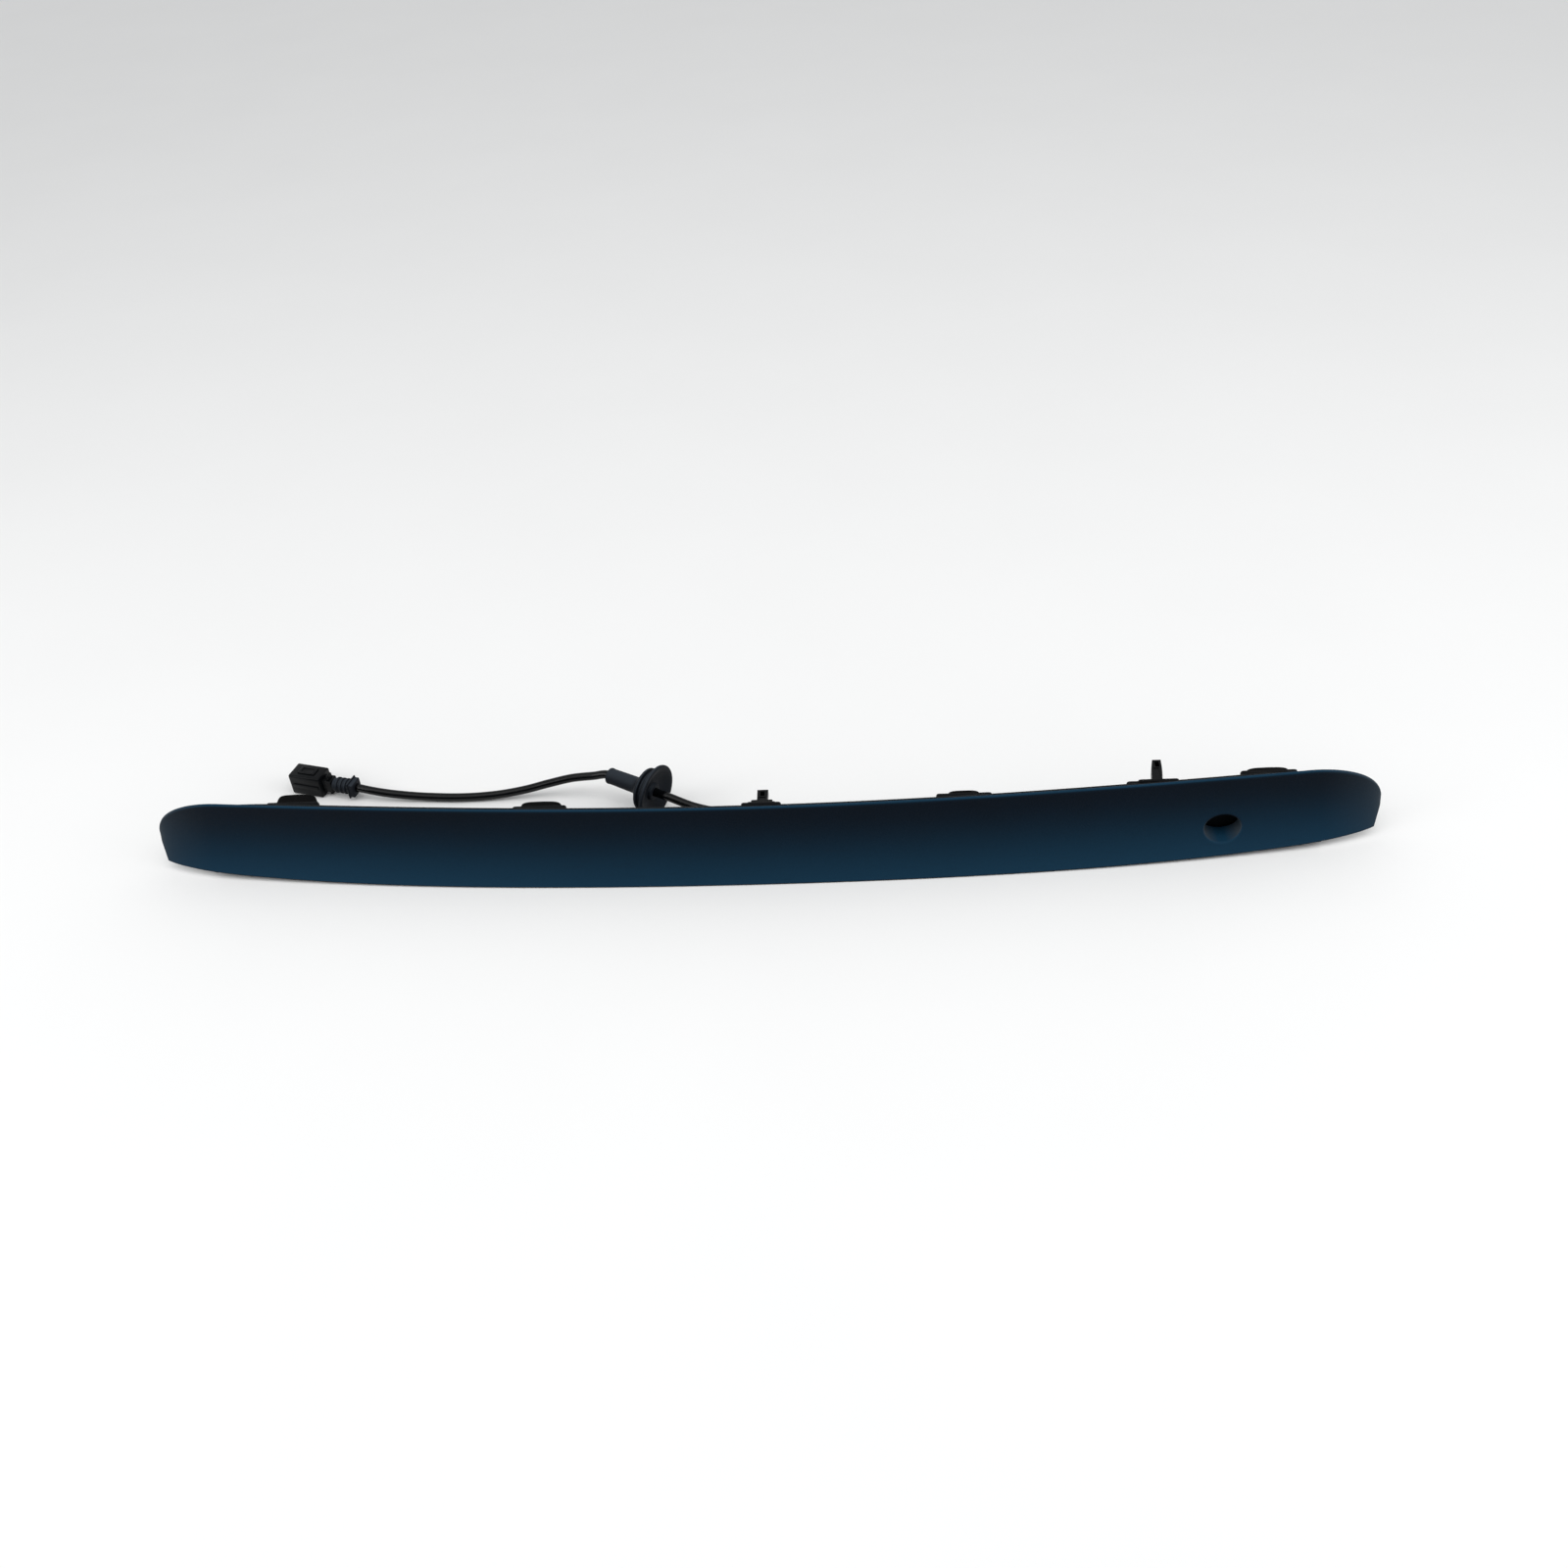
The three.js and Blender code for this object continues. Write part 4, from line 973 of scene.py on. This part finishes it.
def screw_skin(x, y, z, sides=96):
    """A pan-head screw along y: ridged shank, domed head, and a six-lobed socket sunk in it."""
    shank_low, seat = y - 7.2, y
    turns = np.arange(shank_low + 0.8, seat - 0.6, 0.35)
    ridge = np.where(np.arange(len(turns)) % 2, 1.45, 1.1)
    profile = [(0.4, shank_low), (1.1, shank_low + 0.5), *zip(ridge, turns), (1.3, seat - 0.2), (1.45, seat),
               (3.4, seat), (3.6, seat + 0.25), (3.6, seat + 1.3), (3.45, seat + 1.8), (3.0, seat + 2.25),
               (2.4, seat + 2.5), (2.0, seat + 2.58)]
    outlines = [ring_of(r, sides) for r, _ in profile]
    levels = [h for _, h in profile]
    for radius, depth in ((1.55, 2.6), (1.45, 2.5), (1.4, 1.5), (1.2, 1.3)):
        outlines.append(ring_of(radius, sides, lobes=6, depth=0.13))
        levels.append(seat + depth)
    return ring_skin(placed(layers(outlines, levels), (x, 0, z), TO_BACK))


class BRAKELIGHT_OT_screws(bpy.types.Operator):
    """The six screws that hold the carrier to the cover"""

    bl_idname = "brakelight.screws"
    bl_label = "Cover screws"

    def execute(self, context):
        for number, x in enumerate(SCREW_X, 1):
            seat = float(back_y(x)) + SCREW_LAND + 0.3
            add_piece(f"screw_{number}", screw_skin(x, seat, SCREW_Z), "steel", [f"cover_screw_{number}"])
        return {"FINISHED"}


class BRAKELIGHT_OT_vent(bpy.types.Operator):
    """Ribbed vent cap in the carrier's back"""

    bl_idname = "brakelight.vent"
    bl_label = "Vent cap"

    def execute(self, context):
        base = float(back_y(VENT_X)) + GAP
        profile = np.array([
            (1.4, -5), (2.0, -4.4), (2.0, -0.2), (5.68, 0), (5.88, 0.3), (5.88, 1.3), (5.48, 1.9),
            (4.6, 2.2), (3.2, 2.2), (3.0, 1.7), (1.6, 1.7), (1.4, 2.2), (0.5, 2.2)])
        profile[:, 1] += base
        sides = context.scene.brake_light_shape.turned_sides * 2
        made = turned(profile, sides, (VENT_X, 0, VENT_Z), wrap=False, flutes=(5, 0.12, 24))
        add_piece("vent", made, "clip_plastic", ["vent_cap"])
        return {"FINISHED"}


# ---------------------------------------------------------------- lead

def axes_along(direction):
    """Three axes whose last is the given direction and whose first is level."""
    along = Vector(direction).normalized()
    side = Vector((0, 0, 1)).cross(along).normalized()
    return np.array([side, along.cross(side), along])


class BRAKELIGHT_OT_lead(bpy.types.Operator):
    """The lead from the gland to the plug, with its cores inside the bar"""

    bl_idname = "brakelight.lead"
    bl_label = "Lead"

    def execute(self, context):
        path = smooth_path(CABLE_ROUTE, 14)
        wander = 1 + 0.006 * np.sin(np.linspace(0, 60, len(path)))
        cable = add_piece("lead", tube(path / MM, CABLE_DIAMETER / 2 * wander, 28), "cable_sheath", ["cable"])
        for node, finish in (("core_red", "wire_red"), ("core_brown", "wire_brown")):
            carry_over(node, finish)
        return {"FINISHED"}


class BRAKELIGHT_OT_gland(bpy.types.Operator):
    """Rubber gland with a tapered strain relief where the lead leaves the carrier"""

    bl_idname = "brakelight.gland"
    bl_label = "Cable gland"

    def execute(self, context):
        back, bore, r = float(back_y(GLAND_X)), CABLE_DIAMETER / 2 + 0.1, GLAND_RADIUS
        profile = rounded([
            (bore, -4), (r + 1.6, -4), (r + 1.6, -2.35), (r - GAP, -2.35), (r - GAP, 0.3), (r + 2, 0.3),
            (r + 2, 1.8), (r - 0.4, 2.6), (r - 0.7, 3.4), (4.6, 3.7), (4.5, 4.5), (4.9, 4.8), (4.8, 5.5),
            (4.1, 5.8), (4.0, 6.5), (4.4, 6.8), (4.2, 7.4), (3.6, 8), (bore, 8)], 0.25, 4)
        profile[:, 1] += back
        sides = context.scene.brake_light_shape.turned_sides
        made = turned(profile, sides, (GLAND_X, 0, GLAND_Z))
        add_piece("gland", made, "rubber", ["cable_gland"])
        return {"FINISHED"}


class BRAKELIGHT_OT_grommet(bpy.types.Operator):
    """Body grommet: a sleeve, two lips with a groove between, and a dished face"""

    bl_idname = "brakelight.grommet"
    bl_label = "Grommet"

    def execute(self, context):
        bore = CABLE_DIAMETER / 2 + 0.12
        profile = rounded([
            (bore, 31), (bore, -4), (4.6, -4), (5.3, -3.4), (5.6, -1.4), (8, -1.6), (11.5, -3.0),
            (15.3, -5.2), (17.2, -5.7), (18.1, -5), (18.0, -3.5), (14.2, -1.2), (12.4, -0.4), (12.1, 1.5),
            (13.9, 2.1), (13.8, 3.6), (10.8, 5.6), (7.8, 7.2), (6.1, 8.7), (5.4, 10.6), (5.1, 28.6),
            (5.3, 29.1), (5.3, 30.3), (4.9, 31)], 0.55, 5)
        sides = context.scene.brake_light_shape.turned_sides
        made = turned(profile, sides, GROMMET_AT, axes_along(GROMMET_AXIS))
        add_piece("body_grommet", made, "rubber", ["grommet"], sharp=50)
        return {"FINISHED"}


# ---------------------------------------------------------------- plug

def plug_axes():
    """The plug's own axes: across it, up, and along it."""
    c, s = math.cos(PLUG_YAW), math.sin(PLUG_YAW)
    return np.array([(-s, c, 0), (0, 0, 1), (c, s, 0)])


def plug_prism(outline, low, high, edge):
    """An outline pushed along the plug, its end edges rounded."""
    return prism(outline, low, high, edge, PLUG_END, plug_axes())


def plug_box_skin(x, y, z, edge=0.25):
    """A bar between pairs of limits along, across and up the plug, with rounded edges."""
    centre = ((y[0] + y[1]) / 2, (z[0] + z[1]) / 2)
    outline = rectangle(y[1] - y[0], z[1] - z[0], edge, centre, 4)
    return plug_prism(outline, x[0], x[1], edge)


def socket_skin():
    """The plug's shell: rounded rectangles over the back, along the sides, round the rim and inside."""
    start, rim = PLUG_BOX, -PLUG_LENGTH
    width, height, wall = 2 * PLUG_HALF, 2 * PLUG_UNDER, PLUG_WALL
    floor = PLUG_BOX - 5
    steps = [
        (0.6, start), (0.18, start - 0.18), (0, start - 0.6), (0, rim + 0.5), (0.15, rim + 0.14), (0.5, rim),
        (wall - 0.5, rim), (wall - 0.12, rim + 0.14), (wall, rim + 0.5), (wall + 0.15, floor - 0.5),
        (wall + 0.3, floor - 0.1), (wall + 0.6, floor)]
    outlines = [rectangle(width - 2 * d, height - 2 * d, max(1.6 - d, 0.5), steps=7) for d, _ in steps]
    return ring_skin(placed(layers(outlines, [at for _, at in steps]), PLUG_END, plug_axes()))


class BRAKELIGHT_OT_plug(bpy.types.Operator):
    """Two-way plug: shell with its socket, ribbed boot, lock plate and contact pins"""

    bl_idname = "brakelight.plug"
    bl_label = "Plug"

    def execute(self, context):
        box, neck, rim, half, under = PLUG_BOX, PLUG_NECK, -PLUG_LENGTH, PLUG_HALF, PLUG_UNDER
        axes, lock_at = plug_axes(), PLUG_LOCK
        neck_block = plug_box_skin((box - 1, neck), (-3.9, 3.9), (-4.3, 4.3), 0.5)
        side_rail = plug_box_skin((rim + 2.4, box - 1.4), (-half - 0.8, -half + 0.5), (-1.2, 1.2), 0.35)
        top_pad = plug_box_skin((rim + 5, box - 5), (-3.4, 3.4), (under - 0.5, under + 0.9), 0.4)
        groove = plug_box_skin((rim + 7, box - 7), (-2, 2), (under + 0.35, under + 3), 0.3)
        rib = plug_box_skin((box + 1, box + 1.8), (-4.3, 4.3), (-4.7, 4.7), 0.3)
        slot = plug_box_skin((lock_at - 1, lock_at + 1), (-2.8, 2.8), (-9, 9), 0.1)
        nose = turned([(3.0, -18.9), (3.0, -9.9)], 48, PLUG_END, axes, wrap=False)
        pin_slots = [plug_box_skin((box - 8, box - 3.2), (y - 0.7, y + 0.7), (-1.7, 1.7), 0.1)
                     for y in PIN_PLACES]
        shell = carved("plug_shell", socket_skin(), ("UNION", [neck_block]),
                       ("UNION", [side_rail, top_pad, rib]), ("DIFFERENCE", [groove, slot]),
                       ("DIFFERENCE", [nose, *pin_slots]))
        finish_piece(shell, "clip_plastic", ["plug_housing"])

        bore = CABLE_DIAMETER / 2 + 0.12
        collars = [(radius, at + past) for at in (-13.4, -10.2, -7)
                   for radius, past in ((4.4, -1.1), (5.3, -0.7), (5.3, 0.6), (4.4, 1.0))]
        profile = [(2.6, -18.3), (2.6, -16.6), (4.4, -16.6), *collars, (4.8, -4), (4.8, -2), (0.6, -2),
                   (0.6, -18.3)]
        body = turned(rounded(profile, 0.3, 4), 64, PLUG_END, axes)
        square = plug_box_skin((-4.4, 0), (-4.9, 4.9), (-4.9, 4.9), 0.7)
        plate = plug_box_skin((-4.4, -3.2), (-5.5, 5.5), (-5.8, 5.8), 0.5)
        hole = turned([(bore, -11.8), (bore, 4)], 64, PLUG_END, axes, wrap=False)
        boot = carved("plug_boot_moulding", body, ("UNION", [square]), ("UNION", [plate]),
                      ("DIFFERENCE", [hole]))
        finish_piece(boot, "rubber", ["plug_boot"])

        lock_skin = plug_prism(rectangle(4.8, 15.2, 0.6, (0, 0.3), 5), lock_at - 0.7, lock_at + 0.7, 0.25)
        window = plug_box_skin((lock_at - 3, lock_at + 3), (-1.3, 1.3), (-2, 2), 0.2)
        lock = carved("lock_plate", lock_skin, ("DIFFERENCE", [window]))
        finish_piece(lock, "clip_plastic", ["terminal_lock"], body=LOCK)

        for number, y in enumerate(PIN_PLACES, 1):
            steps = [(0.25, box - 15.9), (0, box - 15.1), (0, box - 3.4)]
            outlines = [rectangle(0.7 - d, 2.7 - 2 * d, 0.12, (y, 0), 3) for d, _ in steps]
            pin = ring_skin(placed(layers(outlines, [at for _, at in steps]), PLUG_END, axes))
            add_piece(f"pin_{number}", pin, "brass", [f"contact_pin_{number}"])
        return {"FINISHED"}


# ---------------------------------------------------------------- lamp

def strip_rings(half, front, back, corner, steps):
    """Rings of a long rounded strip that follows the lamp: steps are (inset, level)."""
    middle, depth = (front + back) / 2, back - front
    long_side = np.linspace(-half + corner, half - corner, 160)
    turn = np.linspace(0, math.pi / 2, 6)
    rings = []
    for shrink, level in steps:
        h, d, c = half - shrink, depth / 2 - shrink, max(corner - shrink, 0.2)
        lower = np.column_stack([h - c + c * np.sin(turn), -d + c - c * np.cos(turn)])
        right = np.concatenate([lower, lower[::-1] * (1, -1)])
        run = long_side * (h - c) / (half - corner)
        outline = np.concatenate([
            np.column_stack([run[:-1], np.full(len(run) - 1, -d)]), right,
            np.column_stack([run[-2:0:-1], np.full(len(run) - 2, d)]), right[::-1] * (-1, 1)])
        y = lamp_y(outline[:, 0]) + middle + outline[:, 1]
        rings.append(np.column_stack([outline[:, 0], y, np.full(len(y), level)]))
    return np.stack(rings)


def lens_skin():
    """The lens: a shallow tray with a flange, its outer face flat and its inner face fluted across."""
    outer = strip_rings(LAMP_HALF - 2.4, -5.1, 4.4, 1.5,
                        [(1.6, 1.0), (0.5, 1.05), (0.12, 1.25), (0, 1.6), (0, 3.7)])
    flange = strip_rings(LAMP_HALF + 1, -7.4, 6.3, 1.5, [(0.2, 3.7), (0, 3.9), (0, 4.9), (0.2, 5.1)])
    inner = strip_rings(LAMP_HALF - 4, -3.7, 3.0, 1.0, [(0, 5.1), (0.2, 2.9), (0.8, 2.5)])
    middle = strip_rings(LAMP_HALF - 4.8, -2.9, 2.2, 0.6, [(0, 2.5), (1.2, 2.5), (2.4, 2.5)])
    flutes = 0.32 * np.abs(np.sin(middle[..., 0] * math.pi / 3))
    middle[..., 2] += flutes * np.array([0, 1, 1])[:, None]
    return ring_skin(np.concatenate([outer, flange, inner, middle[1:]]))


def carry_over(node, finish):
    """Gives a CAD node's own mesh a finish."""
    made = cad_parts[node]
    made.data.materials.clear()
    made.data.materials.append(material(finish))


class BRAKELIGHT_OT_lamp(bpy.types.Operator):
    """Red lens, its gasket, the optic tray, and the board with its LEDs and parts"""

    bl_idname = "brakelight.lamp"
    bl_label = "Lamp"

    def execute(self, context):
        add_piece("red_lens", lens_skin(), "lens_red", ["lens"])
        finishes = {"lens_gasket": "rubber", "reflector": "reflector_white", "circuit_board": "board_green",
                    "diode": "chip_black", "board_terminal": "clip_plastic"}
        finishes |= {f"led_{n}": "led_body" for n in range(1, 13)}
        finishes |= {f"board_screw_{n}": "steel" for n in range(1, 4)}
        finishes |= {f"resistor_{n}": "chip_black" for n in range(1, 4)}
        for node, finish in finishes.items():
            carry_over(node, finish)
        return {"FINISHED"}


# ---------------------------------------------------------------- stage

class BRAKELIGHT_OT_camera(bpy.types.Operator):
    """Camera in front of the bar and above it"""

    bl_idname = "brakelight.camera"
    bl_label = "Camera"

    def execute(self, context):
        stage = context.scene.brake_light_stage
        camera = bpy.data.cameras.new("camera")
        camera.sensor_width, camera.lens = 36.0, stage.lens
        made = bpy.data.objects.new("camera", camera)
        made.location = stage.camera_place
        made.rotation_euler = Euler(stage.camera_turn)
        context.scene.collection.objects.link(made)
        context.scene.camera = made
        return {"FINISHED"}


def floor_material(colour):
    """Pale matt floor with very faint mottling."""
    made, tree, shader, place = new_material("floor_paint")
    slow = add_node(tree, "ShaderNodeTexNoise", Vector=place["Object"], Scale=6.0, Detail=3.0)
    dim = tuple(c * 0.97 for c in colour)
    tree.links.new(mixed(tree, slow.outputs[0], colour, dim), shader.inputs["Base Color"])
    shader.inputs["Roughness"].default_value = 0.6
    shader.inputs["Specular IOR Level"].default_value = 0.2
    return made


def area_light(name, place, size, power):
    """A soft rectangular light turned towards the bar."""
    lamp = bpy.data.lights.new(name, "AREA")
    lamp.shape, lamp.size, lamp.size_y, lamp.energy = "RECTANGLE", size[0], size[1], power
    made = bpy.data.objects.new(name, lamp)
    made.location = place
    made.rotation_euler = (Vector(LIGHT_AIM) - Vector(place)).to_track_quat("-Z", "Y").to_euler()
    bpy.context.scene.collection.objects.link(made)


class BRAKELIGHT_OT_stage(bpy.types.Operator):
    """Plain pale floor, soft lights and pale surroundings"""

    bl_idname = "brakelight.stage"
    bl_label = "Stage"

    def execute(self, context):
        stage = context.scene.brake_light_stage
        mesh = bpy.data.meshes.new("floor")
        corners = [(x * FLOOR_REACH, y * FLOOR_REACH, 0) for x, y in ((-1, -1), (1, -1), (1, 1), (-1, 1))]
        mesh.from_pydata(corners, [], [(0, 1, 2, 3)])
        floor = bpy.data.objects.new("floor", mesh)
        context.scene.collection.objects.link(floor)
        mesh.materials.append(floor_material(tuple(stage.floor)))
        for name, place, size in SOFT_LIGHTS:
            area_light(name, place, size, stage.overhead if name == "overhead" else stage.sides)
        world = bpy.data.worlds.new("surroundings")
        world.use_nodes = True
        sky = world.node_tree.nodes["Background"]
        sky.inputs["Color"].default_value = (0.98, 0.99, 1.0, 1)
        sky.inputs["Strength"].default_value = stage.sky
        context.scene.world = world
        context.scene.view_settings.view_transform = "Standard"
        return {"FINISHED"}


# ---------------------------------------------------------------- add-on

class BRAKELIGHT_PT_panel(bpy.types.Panel):
    """Sizes, colours and a button for each piece of the bar"""

    bl_label = "Brake Light Bar"
    bl_idname = "BRAKELIGHT_PT_panel"
    bl_space_type = "VIEW_3D"
    bl_region_type = "UI"
    bl_category = "Brake Light"

    def draw(self, context):
        layout = self.layout
        for settings in (context.scene.brake_light_shape, context.scene.brake_light_finish,
                         context.scene.brake_light_stage):
            column = layout.box().column()
            for name in settings.bl_rna.properties.keys():
                if name not in ("rna_type", "name"):
                    column.prop(settings, name)
        for operator in OPERATORS:
            layout.operator(operator.bl_idname)


GROUPS = (BrakeLightShape, BrakeLightFinish, BrakeLightStage)
OPERATORS = (
    BRAKELIGHT_OT_camera, BRAKELIGHT_OT_grommet, BRAKELIGHT_OT_plug, BRAKELIGHT_OT_lead,
    BRAKELIGHT_OT_gland, BRAKELIGHT_OT_cover, BRAKELIGHT_OT_carrier, BRAKELIGHT_OT_seals,
    BRAKELIGHT_OT_inserts, BRAKELIGHT_OT_clips, BRAKELIGHT_OT_screws, BRAKELIGHT_OT_vent,
    BRAKELIGHT_OT_lamp, BRAKELIGHT_OT_stage,
)


def register():
    for part in (*GROUPS, *OPERATORS, BRAKELIGHT_PT_panel):
        bpy.utils.register_class(part)
    bpy.types.Scene.brake_light_shape = bpy.props.PointerProperty(type=BrakeLightShape)
    bpy.types.Scene.brake_light_finish = bpy.props.PointerProperty(type=BrakeLightFinish)
    bpy.types.Scene.brake_light_stage = bpy.props.PointerProperty(type=BrakeLightStage)


def unregister():
    del bpy.types.Scene.brake_light_shape
    del bpy.types.Scene.brake_light_finish
    del bpy.types.Scene.brake_light_stage
    for part in reversed((*GROUPS, *OPERATORS, BRAKELIGHT_PT_panel)):
        bpy.utils.unregister_class(part)


def main():
    """Builds every piece in order."""
    register()
    for operator in OPERATORS:
        group, name = operator.bl_idname.split(".")
        getattr(getattr(bpy.ops, group), name)()


if __name__ == "__main__":
    main()
